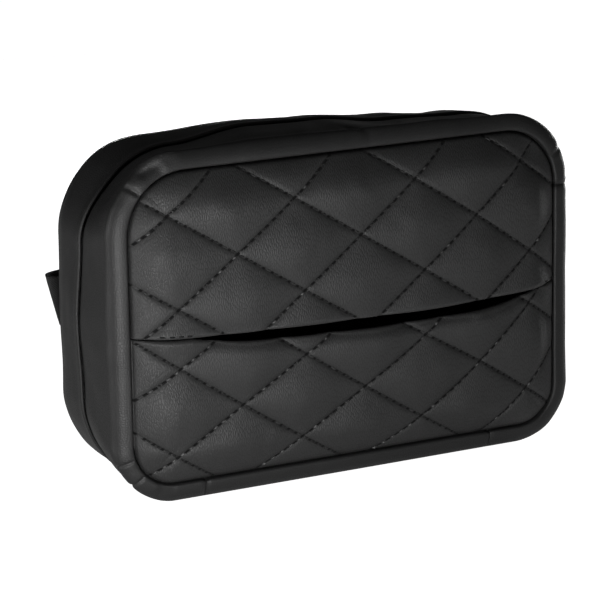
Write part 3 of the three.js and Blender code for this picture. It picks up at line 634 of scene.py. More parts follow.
STITCHES = 8  # in a diamond's side
FALLING_DASH, RISING_DASH = 0.58, 0.34  # length of a stitch as a share of its step, on each family of lines
CREASE_WIDTH = 0.9 * MM  # half width of the painted shade along the stitches
CREASE_SHADE = 0.45
HOLE_WIDTH = 0.85 * MM  # half width of a hole's shadow
HOLE_DEPTH = 2.5  # in heights of a pebble
DIAMOND_WIDTH = 62 * MM
DIAMOND_HEIGHT = 41.6 * MM
LINE_SPACING = DIAMOND_WIDTH * DIAMOND_HEIGHT / math.hypot(DIAMOND_WIDTH, DIAMOND_HEIGHT)

# The gusset's leather is set darker than the panels': painted shade for its dim top and sides.
gusset_leather_shaded = leather_material("gusset_leather_shaded", 0.023, 1.1 * MM, 1.3, 0.04 * MM, 0.46)
PANEL_GRAIN = (0.036, 0.9 * MM, 3.0, 0.07 * MM, 0.5)
panel_leather = leather_material("panel_leather", *PANEL_GRAIN)
quilted_leather = leather_material("quilted_leather", *PANEL_GRAIN)
add_sewn_lines(quilted_leather)


# %% Cloth, webbing and tape
def cloth_material(name, level, thread, slant, depth, roughness, sheen):
    """Woven black cloth. The gaps between its threads get painted shade, and loose fibres take a faint sheen.
    """
    material, tree, shader = new_material(name, roughness, specular=0.25, sheen=sheen)
    weave = group_node(tree, weave_group, {"Vector": length_map(tree), "Thread": thread, "Slant": slant})
    fuzzy = mixed_colour(tree, weave["Fuzz"], grey(level * 0.7), grey(level * 1.35))
    # painted shade in the gaps between threads
    colour = mixed_colour(tree, weave["Gap"], fuzzy, grey(level * 0.25))
    rough = times_plus(tree, weave["Fuzz"], 0.1, roughness - 0.05)
    feed(tree, shader.inputs, Base_Color=colour, Roughness=rough)
    relief(tree, shader, weave["Height"], depth)
    return material


webbing_cloth = cloth_material("webbing_cloth", 0.012, 1.5 * MM, 1.0, 0.3 * MM, 0.75, 0.1)
tape_cloth = cloth_material("tape_cloth", 0.016, 0.7 * MM, 0.0, 0.12 * MM, 0.85, 0.15)
lining_cloth = cloth_material("lining_cloth", 0.02, 0.6 * MM, 0.5, 0.06 * MM, 0.9, 0.2)
elastic_cloth = cloth_material("elastic_cloth", 0.012, 1.1 * MM, 0.0, 0.25 * MM, 0.8, 0.1)


# %% Hard pieces
def hard_material(name, level, roughness, size, metallic=0.0):
    """Moulded plastic or painted metal, with a faint peel and scuffs that are lighter and rougher."""
    material, tree, shader = new_material(name, roughness, metallic=metallic)
    place = shader_node(tree, "ShaderNodeTexCoord").outputs["Object"]
    scuffs = group_node(tree, scuff_group, {"Vector": place, "Size": size})
    pale = times(tree, scuffs["Scuff"], 0.5)
    rough = times_plus(tree, scuffs["Scuff"], 0.12, roughness)
    colour = mixed_colour(tree, pale, grey(level), grey(level * 2.2))
    feed(tree, shader.inputs, Base_Color=colour, Roughness=rough)
    relief(tree, shader, scuffs["Height"], 0.03 * MM)
    return material


moulded_plastic = hard_material("moulded_plastic", 0.012, 0.38, 0.5 * MM)
painted_zinc = hard_material("painted_zinc", 0.03, 0.3, 0.4 * MM, metallic=0.7)
coil_nylon = hard_material("coil_nylon", 0.012, 0.42, 0.3 * MM)
pressed_board = hard_material("pressed_board", 0.05, 0.85, 0.9 * MM)


# %% Sewing thread
STRANDS_PER_METRE = 9000.0


def thread_material():
    """Polyester thread: fine slanting strands along each stitch. A few stitches get a painted highlight, a
    paler colour.
    """
    material, tree, shader = new_material("sewing_thread", 0.55, specular=0.4)
    place = shader_node(tree, "ShaderNodeSeparateXYZ", {0: length_map(tree)}).outputs
    slanted = math_node(tree, "ADD", place["X"], place["Y"])
    wave = math_node(tree, "SINE", times(tree, slanted, STRANDS_PER_METRE))
    strands = math_node(tree, "ABSOLUTE", wave)
    # a paler colour on some stitches is a painted highlight
    base = mixed_colour(tree, attribute_node(tree, "catch"), grey(0.016), grey(0.26))
    colour = mixed_colour(tree, times(tree, strands, 0.4), base, grey(0.002))
    feed(tree, shader.inputs, Base_Color=colour)
    relief(tree, shader, strands, 0.06 * MM)
    return material


sewing_thread = thread_material()
print("materials:", sorted(m.name for m in bpy.data.materials))

# %% [markdown]
# ## Gusset
#
# The gusset is four strips of foam-backed leather. Each is one cross-section carried round the outline: a
# padded roll beside the seam, the flat of the wall, a thin folded edge at the zip and the same way back
# inside. The section holds depth, distance outside the front seam at the sides, and the same at the bottom.

# %% Cross-sections of the gusset
WALL = 3.1 * MM
LIP_WALL = 1.6 * MM  # folded edge along the zip
LIP_WIDTH = 8 * MM
TAPE_COVER = 14 * MM  # from the middle of the zip to where the wall inside begins to slope
LIP_GAP = 1.4 * MM
LIP_RIDGE = 0.6 * MM  # how far the rear folded edge stands up
LIP_TUCK = 0.6 * MM  # and how far the front one is drawn in
RIDGE_WIDTH = 2.2 * MM
DRAWN_WIDTH = 1.6 * MM
PANEL_WALL = 2.2 * MM
BACK_WALL = 2 * MM
LINING_WALL = 0.9 * MM
BINDING_WALL = 1.2 * MM
BINDING_WIDTH = 8 * MM
SEAM_FOLD = 1.2 * MM
SEAT_INSET = SEAM_INSET + 2 * CLEARANCE + PANEL_WALL
ROLL_RUN = 4.5 * MM  # depth of the padded roll at the front seam
ROLL_NOSE = 1.9 * MM  # how far the roll stands in front of its seam
ROLL_CORE = 0.1 * MM  # foremost line of the roll outside the seam
REAR_RUN = 5.5 * MM  # the same three for the rear roll, and the angle at which it ends
REAR_NOSE = 0.3 * MM
REAR_CORE = 1 * MM
GROOVE_ANGLE = math.radians(-25)
REAR_SIDE = 0.58 * SIDE_ROLL  # rear seam outline outside the front one, at the sides
REAR_FLOOR = 0.65 * FLOOR_ROLL
SPLICE_X = SEAM_HALF - 36.5 * MM
SPLICE_Z = 125 * MM
SPLICE_GAP = 0.15 * MM
TUCK = 0.6 * MM  # dip beside a splice
TUCK_RUN = 1.3 * MM
STEP = 0.8 * MM  # size of a mesh cell


def section_of(y, side, floor, skin=1):
    return np.stack(np.broadcast_arrays(y, side, floor, skin), axis=-1)


def front_roll():
    """A tight bend out of the seam's groove, then a quarter of an ellipse up to the flat of the wall."""
    angle = np.linspace(0, math.pi / 2, 14)
    y = FRONT_Y + ROLL_RUN - (ROLL_RUN + ROLL_NOSE) * np.cos(angle)
    side = ROLL_CORE + (SIDE_ROLL - ROLL_CORE) * np.sin(angle)
    floor = ROLL_CORE + (FLOOR_ROLL - ROLL_CORE) * np.sin(angle)
    bend = np.array([[0.5, -1.2], [-0.8, -1.2], [-1.5, -0.9], [-1.82, -0.45]]) * MM
    bend[:, 0] += FRONT_Y
    return np.concatenate([section_of(bend[:, 0], bend[:, 1], bend[:, 1]), section_of(y, side, floor)])


def rear_roll(run_side, run_floor):
    """The same from the flat of the wall to the rear seam's groove."""
    angle = np.linspace(math.pi / 2, GROOVE_ANGLE, 13)
    y = REAR_Y - REAR_RUN + (REAR_RUN + REAR_NOSE) * np.cos(angle)
    side_middle, floor_middle = REAR_SIDE - REAR_CORE, REAR_FLOOR - REAR_CORE
    side = side_middle + (run_side - side_middle) * np.sin(angle)
    floor = floor_middle + (run_floor - floor_middle) * np.sin(angle)
    return section_of(y, side, floor)


def wall_run(start, end, step=1.2 * MM):
    """The flat of the wall between two depths, without its ends."""
    y = np.linspace(start, end, int((end - start) / step) + 2)[1:-1]
    return section_of(y, side_out(y), FLOOR_ROLL)


def folded_edge(y, direction, lift):
    """Half a circle from outside to inside at a folded edge."""
    radius = LIP_WALL / 2
    angle = np.linspace(math.pi / 2, -math.pi / 2, 7)
    out = side_out(y) + lift - radius + radius * np.sin(angle)
    return section_of(y + direction * radius * np.cos(angle), out, out - side_out(y) + FLOOR_ROLL)


def inner_wall(y, inset):
    return section_of(y, side_out(y) - inset, FLOOR_ROLL - inset, 0)


# y is its depth and inward the direction to the middle. side and floor are the outline's distances outside
# the front seam. seat and foot are how far inwards the strip touches the panel, and its turned edge ends.
Seam = namedtuple("Seam", "y inward side floor seat foot")
TURNED_EDGE = CLEARANCE + LINING_WALL + CLEARANCE
FRONT_SEAM = Seam(FRONT_Y, 1, 0, 0, PANEL_WALL + CLEARANCE, PANEL_WALL + TURNED_EDGE)
BACK_SEAM = Seam(REAR_Y, -1, REAR_SIDE, REAR_FLOOR, BACK_WALL + CLEARANCE, BACK_WALL + TURNED_EDGE)


def seam_foot(seam):
    """Where a strip is turned in at a seam: from the wall inside to the face against the panel."""
    depths = np.array([seam.foot + ROLL_FOOT, seam.foot + BINDING_WALL + CLEARANCE, seam.seat, seam.seat])
    insets = np.array([0, SEAT_INSET, SEAT_INSET, SEAM_FOLD])
    y = seam.y + seam.inward * depths
    section = section_of(y, seam.side - insets, seam.floor - insets, 0)
    section[0, 1:3] = side_out(y[0]) - WALL, FLOOR_ROLL - WALL
    return section


front_foot, rear_foot = seam_foot(FRONT_SEAM), seam_foot(BACK_SEAM)
roll_end, rear_start = FRONT_Y + ROLL_RUN, REAR_Y - REAR_RUN
lip_front, lip_rear = ZIP_Y - LIP_GAP / 2 - LIP_WALL / 2, ZIP_Y + LIP_GAP / 2 + LIP_WALL / 2
rear_end = rear_roll(side_out(rear_start), FLOOR_ROLL)
front_outer = np.concatenate([front_roll(), wall_run(roll_end, lip_front)])
rear_outer = np.concatenate([wall_run(lip_rear, rear_start), rear_end])
base_outer = np.concatenate([front_roll(), wall_run(roll_end, rear_start), rear_end])
rear_outer[:, 1] += LIP_RIDGE * bell((rear_outer[:, 0] - lip_rear) / RIDGE_WIDTH)
front_outer[:, 1] -= LIP_TUCK * bell((front_outer[:, 0] - lip_front) / DRAWN_WIDTH)
front_section = np.concatenate([
    front_outer,
    folded_edge(lip_front, 1, -LIP_TUCK),
    inner_wall(np.array([ZIP_Y - LIP_WIDTH]), LIP_WALL),
    inner_wall(np.array([ZIP_Y - LIP_WIDTH, ZIP_Y - TAPE_COVER]), WALL),
    front_foot,
])
rear_section = np.concatenate([
    rear_outer,
    rear_foot[::-1],
    inner_wall(np.array([ZIP_Y + LIP_WIDTH]), WALL),
    inner_wall(np.array([ZIP_Y + LIP_WIDTH]), LIP_WALL),
    folded_edge(lip_rear, -1, LIP_RIDGE)[::-1],
])
base_section = np.concatenate([base_outer, rear_foot[::-1], front_foot])
print("section points:", len(front_section), len(rear_section), len(base_section))

# %% [markdown]
# Leather that is pulled round a tight corner gathers. Each crease is a ridge or a valley with a place, a
# length, a width and a direction, and the surface is moved along its normal by their sum. Beside a splice
# seam the leather dips as well, because it is turned in there.

# %% Creases and dips


def crease(a, d, length, width, slant, height):
    """A long soft ridge, where a is the distance from its middle along the outline and d in depth: a bell
    curve across it and a flatter one along it. slant is in degrees from the way back from the front seam."""
    turned = math.radians(slant)
    forward = d * math.cos(turned) + a * math.sin(turned)
    aside = a * math.cos(turned) - d * math.sin(turned)
    return height * bell(aside / width) * bell((forward / length) ** 2)


# turn, depth, length, width, slant and height: folds at the corners and on the top
GUSSET_CREASES = [
    (4.32, -0.6, 7, 1.6, 84, -1.5),
    (4.24, 2.6, 13, 1.8, 80, 1.3),
    (4.55, -0.5, 3, 1.5, 20, -1.0),
    (6.2, 1, 5, 1.4, 15, -0.7),
    (6.46, 1.5, 5, 1.6, -5, -0.8),
    (6.86, -0.5, 9, 1.8, 88, -1.6),
    (2.32, 2, 6, 1.8, 30, -0.55),
    (2.08, 3, 6, 1.8, 60, -0.45),
    (8.42, 0, 5, 1.6, 40, -1.1),
    (8.55, -0.5, 10, 1.8, 90, -1.0),
    (3.46, 4, 6, 1.8, 35, -0.7),
    (3.6, 12, 9, 3.0, -30, 0.4),
    (5.5, 12, 14, 4.0, 8, -0.35),
]
BROAD_LUMPS = 0.35 * MM
FINE_LUMPS = 0.15 * MM
LEVEL_FOOT = 0.6 * MM  # below this height the relief is gone, so the base stays flat
LEVEL_RUN = 8 * MM
CREST = 1.2 * MM  # the rubbed line on the front roll, lighter as wear and as a painted highlight: its depth
CREST_WIDTH = 1.6 * MM


def gusset_relief(points, turns, depth):
    """How far the outer surface moves along its normal: creases and a soft unevenness."""
    along = np.interp(turns, TURNS, LENGTHS)
    moved = BROAD_LUMPS * unevenness(along, depth, 22 * MM, 3)
    moved = moved + FINE_LUMPS * unevenness(along, depth, 8 * MM, 4)
    for turn, at_depth, *form in GUSSET_CREASES:
        from_middle = along - np.interp(turn, TURNS, LENGTHS)
        moved = moved + MM * crease(from_middle / MM, depth / MM - at_depth, *form)
    return moved * smooth((points[..., 2] - LEVEL_FOOT) / LEVEL_RUN)


BODY_CENTRE = np.array([0, 0, SEAM_MIDDLE])


def gusset_strip(name, section, outer, first, last):
    """Carries a section between two cuts and adds the relief to its first rows, the outer ones."""
    turns = spread(first, last, STEP)
    points = outline(*section.T, turns)
    skin = points[:, :outer]
    rows = np.arange(outer)
    from_end = np.minimum(*(np.linalg.norm(skin - skin[[end]], axis=-1) for end in (0, -1)))
    tucked = -TUCK * bell(from_end / TUCK_RUN) * smooth((skin[..., 2] - 0.3 * MM) / (2 * MM))
    fade = smooth(rows / 6) * smooth((outer - 1 - rows) / 3)
    moved = gusset_relief(skin, turns[:, :outer], skin[..., 1] - FRONT_Y) * fade + tucked
    points[:, :outer] = skin + outward(skin, BODY_CENTRE) * moved[..., None]
    piece = carried(name, points)
    # a lighter line along the front roll's crest: rubbed wear, and a painted highlight
    crest = bell((section[:, 0] - FRONT_Y - CREST) / CREST_WIDTH) * (section[:, 1] > 0)
    stored(piece, "wear_and_highlight", np.broadcast_to(0.3 * crest, points.shape[:2]))
    return piece


def side_cuts(section, x=SPLICE_X + SPLICE_GAP):
    """Where a section leaves the bottom at x, and where it comes back to it at -x, once round the top."""
    return turn_where(section, 0, x, 6, 9) - 8, turn_where(section, 0, -x, 6, 9)


def base_cuts(section):
    """The stretch of the bottom between the splices."""
    right, left = side_cuts(section, SPLICE_X - SPLICE_GAP)
    return left, right + 8


# %% Gusset pieces
front_rows = len(front_outer) + 3
splice_low = turn_where(front_section, 2, SPLICE_Z - SPLICE_GAP, 1, 3)
splice_high = turn_where(front_section, 2, SPLICE_Z + SPLICE_GAP, 1, 3)
right_end, left_end = side_cuts(front_section)
for name, section, outer, cuts, body, node in (
    ("side_top_gusset", front_section, front_rows, (splice_high, left_end), "pouch", "gusset_left_top"),
    ("right_gusset", front_section, front_rows, (right_end, splice_low), "pouch", "gusset_right"),
    ("rear_gusset", rear_section, len(rear_outer), side_cuts(rear_section), BENT, "gusset_rear"),
    ("base_gusset", base_section, len(base_outer), base_cuts(base_section), BENT, "bottom_gusset"),
):
    placed(gusset_strip(name, section, outer, *cuts), body, gusset_leather_shaded, "leather", node)

# %% [markdown]
# ## Quilted front
#
# Each front panel is leather on foam, sewn through along two families of slanting lines. The foam swells
# between the lines, so a point's height is the product of two arches, one for its distance from each family.
# A narrow dip follows each line. The holes between the stitches and the painted shade along the lines are in
# the leather's material.

# %% Shape of the quilting
CROWN = 11 * MM
EDGE_RUN = 20 * MM
EDGE_SHARE = 0.6  # of the crown, gained over the steep edge
PUFF = 2.8 * MM
PUFF_FADE = 14 * MM
BROAD_PUFF, FINE_PUFF = 0.16, 0.08  # how unevenly the foam swells
UPPER_NODE = (33.2 * MM, SEAM_MIDDLE + 14.2 * MM)  # a crossing of two lines of the upper panel
LOWER_NODE = (33.7 * MM, SEAM_MIDDLE - 16.3 * MM)
UPPER_PULL = (40 * MM, 55 * MM, -4.5 * MM, 1.4)  # the lines' slide at the right: start, run, size and limit
LOWER_PULL = (50 * MM, 46 * MM, -6.3 * MM, 1.4)
LOWER_LIFT = (10 * MM, 86 * MM, 7.5 * MM, 1.2)
CHANNEL_DEPTH = 0.45 * MM
CHANNEL_WIDTH = 1.4 * MM
PANEL_INSET = 1.9 * MM
EDGE_TURN = 1.3 * MM  # width of the turned edge at the front seam
EDGE_DEPTH = 1.7 * MM
LOW_TURN = 2.2 * MM  # added to it at the bottom, where the panel hangs over the seam
CORNER_SAG = (101 * MM, 145 * MM, 13 * MM, 0.75)  # the slack corner: place, size and the share it loses
SLOT_Z = SEAM_MIDDLE - 1.6 * MM
SLOT_SAG = 2.2 * MM
SLOT_SLACK = 2 * MM  # how much further the flap hangs at the right
SLACK_START = -40 * MM
SLACK_RUN = 110 * MM
SLOT_LENGTH = 184 * MM
SLOT_MIDDLE = 9 * MM
SLOT_GAP = 4.8 * MM
LIP_ROLL = 2.6 * MM
LIP_ROLL_RUN = 6 * MM


def seam_radius(x, z):
    """The front seam's corner radius for the quarter in which a point lies."""
    upper = np.where(x > 0, SEAM_RADII[1], SEAM_RADII[2])
    lower = np.where(x > 0, SEAM_RADII[0], SEAM_RADII[3])
    return np.where(z > SEAM_MIDDLE, upper, lower)


def seam_distance(x, z):
    """How far a point lies inside the front seam, a rounded rectangle."""
    radius = seam_radius(x, z)
    across = np.abs(x) - (SEAM_HALF - radius)
    up = np.abs(z - SEAM_MIDDLE) - (SEAM_RISE - radius)
    outside = np.hypot(np.maximum(across, 0), np.maximum(up, 0))
    return radius - outside - np.minimum(np.maximum(across, up), 0)


def crown(x, z, slack=0):
    """How far the front stands before its seam: a steep edge and a broad dome, each a rise from the sides
    times one from the top and bottom, drawn in at the corners. slack moves its start inwards."""
    across, up = SEAM_HALF - slack - np.abs(x), SEAM_RISE - slack - np.abs(z - SEAM_MIDDLE)
    nearest = np.maximum(np.minimum(across, up), 0.1 * MM)
    drawn_in = np.clip(seam_distance(x, z) / nearest, 0, 1) ** 0.8
    steep = ease(across / EDGE_RUN) * ease(up / EDGE_RUN)
    dome = ease(across / SEAM_HALF) * ease(up / SEAM_RISE)
    sag_x, sag_z, size, lost = CORNER_SAG
    sagged = 1 - lost * np.exp(-((x - sag_x) ** 2 + (z - sag_z) ** 2) / size**2)
    return CROWN * drawn_in * sagged * (EDGE_SHARE * steep + (1 - EDGE_SHARE) * dome)


def slide(x, start, run, size, limit):
    """A drift that grows with the square of the distance past its start."""
    return size * np.clip((x - start) / run, 0, limit) ** 2


def upper_drift(x, z):
    """How far the upper panel's lines have slid from an even lattice, across and up."""
    above = z - UPPER_NODE[1]
    across = -0.085 * (above - DIAMOND_HEIGHT / 2) + slide(x, *UPPER_PULL)
    return across, 0.027 * x + 0.03 * (above - DIAMOND_HEIGHT)


def lower_drift(x, z):
    """The same for the lower panel, whose lines rise at the right."""
    above = z - LOWER_NODE[1] + DIAMOND_HEIGHT / 2
    across = 0.9 * MM + 0.04 * above + slide(x, *LOWER_PULL)
    return across, slide(x, *LOWER_LIFT) - 0.4 * MM - 0.07 * above * bell(x / (60 * MM))


UPPER_LINES = (UPPER_NODE, upper_drift)
LOWER_LINES = (LOWER_NODE, lower_drift)


def line_places(x, z, lines):
    """Place in the two families of lines. The first is whole on a line that falls to the right, and the
    second on one that rises."""
    node, drift = lines
    slid_x, slid_z = drift(x, z)
    across, up = (x - slid_x - node[0]) / DIAMOND_WIDTH, (z - slid_z - node[1]) / DIAMOND_HEIGHT
    return across + up, across - up


def line_point(falling, rising, lines):
    """The point with these places: the even lattice's point, moved by the drift that is found there."""
    node, drift = lines
    even_x = node[0] + DIAMOND_WIDTH * (falling + rising) / 2
    even_z = node[1] + DIAMOND_HEIGHT * (falling - rising) / 2
    x, z = even_x, even_z
    for _ in range(5):
        slid_x, slid_z = drift(x, z)
        x, z = even_x + slid_x, even_z + slid_z
    return x, z


def quilting(x, z, lines):
    """Height of the foam between the sewn lines, less the dips along the lines."""
    heights, dips = [], []
    for place in line_places(x, z, lines):
        distance = np.abs(place - np.round(place))
        heights.append(ease(2 * distance))
        dips.append(CHANNEL_DEPTH * bell(distance * LINE_SPACING / CHANNEL_WIDTH))
    edge = seam_distance(x, z)
    lumps = 1 + BROAD_PUFF * unevenness(x, z, 17 * MM, 11) + FINE_PUFF * unevenness(x, z, 7 * MM, 12)
    inside = ease((edge - PANEL_INSET) / PUFF_FADE)
    return PUFF * heights[0] * heights[1] * lumps * inside - (dips[0] + dips[1]) * smooth(edge / (4 * MM))


def edge_dip(x, z):
    """How far the leather turns back into the seam's groove: a quarter circle in its last stretch."""
    width = EDGE_TURN + LOW_TURN * smooth((SEAM_BOTTOM + 14 * MM - z) / (12 * MM))
    turned = 1 - np.clip((seam_distance(x, z) - PANEL_INSET) / width, 0, 1)
    return EDGE_DEPTH * (1 - np.sqrt(1 - turned**2 * 0.98))


def slot_share(x):
    return np.maximum(0, 1 - (2 * (x - SLOT_MIDDLE) / SLOT_LENGTH) ** 4)


def flap_edge(x):
    """The flap's edge sags between the seams, and more towards the right."""
    place = np.minimum(1, np.abs(x) / SEAM_HALF)
    slack = SLOT_SLACK * (0.25 + 0.75 * smooth((x - SLACK_START) / SLACK_RUN)) * (1 - place**6)
    return SLOT_Z - SLOT_SAG * (1 - place**2) - slack


def lower_edge(x):
    return flap_edge(x) - CLEARANCE - SLOT_GAP * slot_share(x)


def lip_roll(x, z):
    """How far the lower panel rolls inwards towards the slot: the square of the place on its last stretch."""
    return LIP_ROLL * np.sqrt(slot_share(x)) * np.clip((z - lower_edge(x)) / LIP_ROLL_RUN + 1, 0, 1) ** 2


def upper_base(x, z, slack=0):
    return FRONT_Y - crown(x, z, slack)


def lower_base(x, z, slack=0):
    return upper_base(x, z, slack) + lip_roll(x, z)


def quilted_face(x, z, base, lines):
    return base(x, z) - quilting(x, z, lines) + edge_dip(x, z)


# %% Panels


def seam_line(x, level, inset=PANEL_INSET):
    """Z of a sheet's outer edge at x: level 1 for the top and -1 for the bottom."""
    z = SEAM_MIDDLE + level * SEAM_RISE
    radius = seam_radius(x, z) - inset
    across = np.abs(x) - (SEAM_HALF - inset - radius)
    drop = radius - np.sqrt(np.maximum(radius**2 - np.maximum(across, 0) ** 2, 0))
    return z - level * (inset + drop)


def panel_columns(count):
    """X places across a panel, closer together at its rounded ends."""
    share = np.linspace(-1, 1, count)
    return (SEAM_HALF - PANEL_INSET) * (0.6 * share + 0.4 * np.sin(share * math.pi / 2))


def folded_panel(name, level, slot_line, base, lines, columns=440, rows=140, back_rows=26):
    """A closed panel: for each x a section that runs down the quilted face from the seam to the slot, round
    the folded edge and back behind."""
    x = panel_columns(columns)[:, None]
    seam_z, slot_z = seam_line(x, level), slot_line(x)
    front = lambda z: quilted_face(x, z, base, lines)
    behind = lambda z: base(x, z) + PANEL_WALL
    radius = (behind(slot_z) - front(slot_z)) / 2
    fold_z = slot_z + level * radius
    face_z = seam_z + (fold_z - seam_z) * np.linspace(0, 1, rows)
    back_z = fold_z + (seam_z - fold_z) * np.linspace(0, 1, back_rows)
    angle = np.linspace(0, math.pi, 9)[1:-1]
    near, far = front(fold_z), behind(fold_z)
    fold_y = (near + far) / 2 - (far - near) / 2 * np.cos(angle)
    y = np.concatenate([front(face_z), fold_y, behind(back_z)], axis=1)
    z = np.concatenate([face_z, fold_z - level * radius * np.sin(angle), back_z], axis=1)
    piece = carried(name, points_at(x, y, z))
    # the flap's folded edge is lighter: rubbed wear, and a painted highlight
    at_fold = bell((z - slot_z) / (1.5 * MM)) * (y < base(x, z) + 0.5 * MM)
    stored(piece, "wear_and_highlight", at_fold * (level > 0))
    for family, place in zip(("falling", "rising"), line_places(x, z, lines)):
        stored(piece, family, place)
    return piece


for name, level, slot_line, base, lines, node in (
    ("quilted_upper", 1, flap_edge, upper_base, UPPER_LINES, "front_upper_panel"),
    ("quilted_lower", -1, lower_edge, lower_base, LOWER_LINES, "front_lower_panel"),
):
    panel = folded_panel(name, level, slot_line, base, lines)
    placed(panel, "pouch", quilted_leather, "leather", node)

# %% [markdown]
# ## Stitches
#
# Each stitch is a short bow of thread that dives into the leather at both ends. One small tube with a few
# dozen faces is worked out for every stitch at once, along the direction from hole to hole.

# %% Stitches from hole to hole
THREAD_RADIUS = 0.38 * MM
STITCH_SIDES = 6
STITCH_RUN = 4 * MM  # length of a stitch in its UV map
HOLE_WANDER = 0.12 * MM
SEAM_ROOM = 0.8 * MM  # between a stitch and the panel's edge
LATTICE = 12  # lines of a family to each side of the named crossing
STITCH_SHARES = np.array([0.0, 0.1, 0.3, 0.5, 0.7, 0.9, 1.0])
STITCH_WIDTHS = np.array([0.35, 0.8, 1.0, 1.0, 1.0, 0.8, 0.35])
STITCH_LIFT = THREAD_RADIUS * (1.6 * np.sin(math.pi * STITCH_SHARES) - 0.9)


def stitch_mesh(name, lines, normals, catch=0):
    """A tube for every stitch. lines[i] holds the points of stitch i on the cloth. The tube's middle rises
    from them along the normal, and its thin ends are sunk. One normal, or one share of painted highlight, may
    serve for all."""
    along = unit(lines[:, -1] - lines[:, 0])
    aside = unit(np.cross(along, normals))
    upright = np.cross(aside, along)
    angle = np.arange(STITCH_SIDES) * math.tau / STITCH_SIDES
    middle = lines + upright[:, None] * STITCH_LIFT[None, :, None]
    width = THREAD_RADIUS * STITCH_WIDTHS[None, :, None, None]
    ring = np.cos(angle)[:, None] * aside[:, None, None] + np.sin(angle)[:, None] * upright[:, None, None]
    points = middle[:, :, None] + ring * width
    rings, per_stitch = len(STITCH_SHARES), len(STITCH_SHARES) * STITCH_SIDES
    at_ring, at_side = grid_corners(rings - 1, STITCH_SIDES)
    local = at_ring * STITCH_SIDES + at_side % STITCH_SIDES
    caps = np.array([np.arange(STITCH_SIDES)[::-1], (rings - 1) * STITCH_SIDES + np.arange(STITCH_SIDES)])
    shift = np.arange(len(lines))[:, None, None] * per_stitch
    vertices = points.reshape(-1, 3)
    quads = (local[None] + shift).reshape(-1, 4)
    ends_of = (caps[None] + shift).reshape(-1, STITCH_SIDES)
    if volume_sign(vertices[:per_stitch] - vertices[:per_stitch].mean(axis=0), local) < 0:
        quads, ends_of = quads[:, ::-1], ends_of[:, ::-1]
    corners = np.concatenate([quads.ravel(), ends_of.ravel()])
    sizes = np.concatenate([np.full(len(quads), 4), np.full(len(ends_of), STITCH_SIDES)])
    ring_of, around = divmod(corners % per_stitch, STITCH_SIDES)
    uv = np.stack([STITCH_SHARES[ring_of] * STITCH_RUN, around * THREAD_RADIUS], axis=-1)
    piece = polygon_mesh(name, vertices, corners, sizes, uv)
    # each stitch's share of painted highlight, read by the thread's material
    stored(piece, "catch", np.repeat(np.broadcast_to(catch, len(lines)), per_stitch))
    return piece


def quilt_stitches(name, base, lines, low, high, seed):
    """Stitches along both families of lines, from the holes that lie inside the panel."""
    chance = np.random.default_rng(seed)
    parts = []
    for family, dash in ((0, FALLING_DASH), (1, RISING_DASH)):
        line_numbers = np.arange(-LATTICE, LATTICE + 1)
        hole_numbers = np.arange(-LATTICE * STITCHES, LATTICE * STITCHES)
        line, hole = np.meshgrid(line_numbers, hole_numbers, indexing="ij")
        other = (hole.reshape(-1, 1) + 0.5 + dash * (STITCH_SHARES - 0.5)) / STITCHES
        line = line.reshape(-1, 1) + 0 * other
        x, z = line_point(*((line, other) if family == 0 else (other, line)), lines)
        kept = ((seam_distance(x, z) > PANEL_INSET + SEAM_ROOM) & (z > low(x)) & (z < high(x))).all(axis=1)
        x, z = x[kept], z[kept]
        wander = chance.normal(0, HOLE_WANDER, (4, len(x), 1))
        x = x + wander[0] + (wander[1] - wander[0]) * STITCH_SHARES
        z = z + wander[2] + (wander[3] - wander[2]) * STITCH_SHARES
        xm, zm, reach = x.mean(axis=1), z.mean(axis=1), 2 * MM
        slope_x = (base(xm + reach, zm) - base(xm - reach, zm)) / (2 * reach)
        slope_z = (base(xm, zm + reach) - base(xm, zm - reach)) / (2 * reach)
        # more stitches get a painted highlight towards the lower left, which faces the light
        lit = smooth((0.6 - (xm / SEAM_HALF) - 1.2 * (zm - SEAM_MIDDLE) / SEAM_RISE) / 2.2)
        glinting = chance.random(len(xm)) < 0.15 + 0.85 * lit * family
        catch = np.where(glinting, chance.uniform(0.3, 1, len(xm)), 0) * (0.25 + 0.75 * family)
        on_face = points_at(x, quilted_face(x, z, base, lines), z)
        parts.append((on_face, unit(points_at(slope_x, -1, slope_z)), catch))
    return stitch_mesh(name, *(np.concatenate([p[n] for p in parts]) for n in range(3)))


EDGE_ROOM = 1.6 * MM
above_slot, below_slot = lambda x: flap_edge(x) + EDGE_ROOM, lambda x: lower_edge(x) - EDGE_ROOM
for name, base, lines, low, high, seed in (
    ("upper_stitches", upper_base, UPPER_LINES, above_slot, lambda x: SEAM_TOP, 21),
    ("lower_stitches", lower_base, LOWER_LINES, lambda x: SEAM_BOTTOM, below_slot, 22),
):
    placed(quilt_stitches(name, base, lines, low, high, seed), "pouch", sewing_thread, "leather")


SLOT_STITCH_STEP = 4.2 * MM
SLOT_STITCH_RISE = 1.5 * MM  # above the flap's edge


def slot_stitches():
    """A short row along the flap's edge at each end of the slot, which sews it to the panel below."""
    reach = SLOT_LENGTH / 2 + (np.arange(4)[:, None] + 0.1 + 0.6 * STITCH_SHARES) * SLOT_STITCH_STEP
    x = SLOT_MIDDLE + np.concatenate([reach[:2], -reach])
    z = flap_edge(x) + SLOT_STITCH_RISE
    lines = points_at(x, upper_base(x, z) - quilting(x, z, UPPER_LINES), z)
    return stitch_mesh("slot_stitches", lines, (0, -1, 0))


placed(slot_stitches(), "pouch", sewing_thread, "leather")

# %% [markdown]
# ## Linings and bindings
#
# Inside, each strip has a thin cloth lining, and a woven tape covers the raw edges at both seams. They follow
# the same outlines as the gusset, a little further in, so the same function carries their sections. The ones
# that the lid pulls on are baked in place without a body, as the rear and bottom strips of the gusset are.

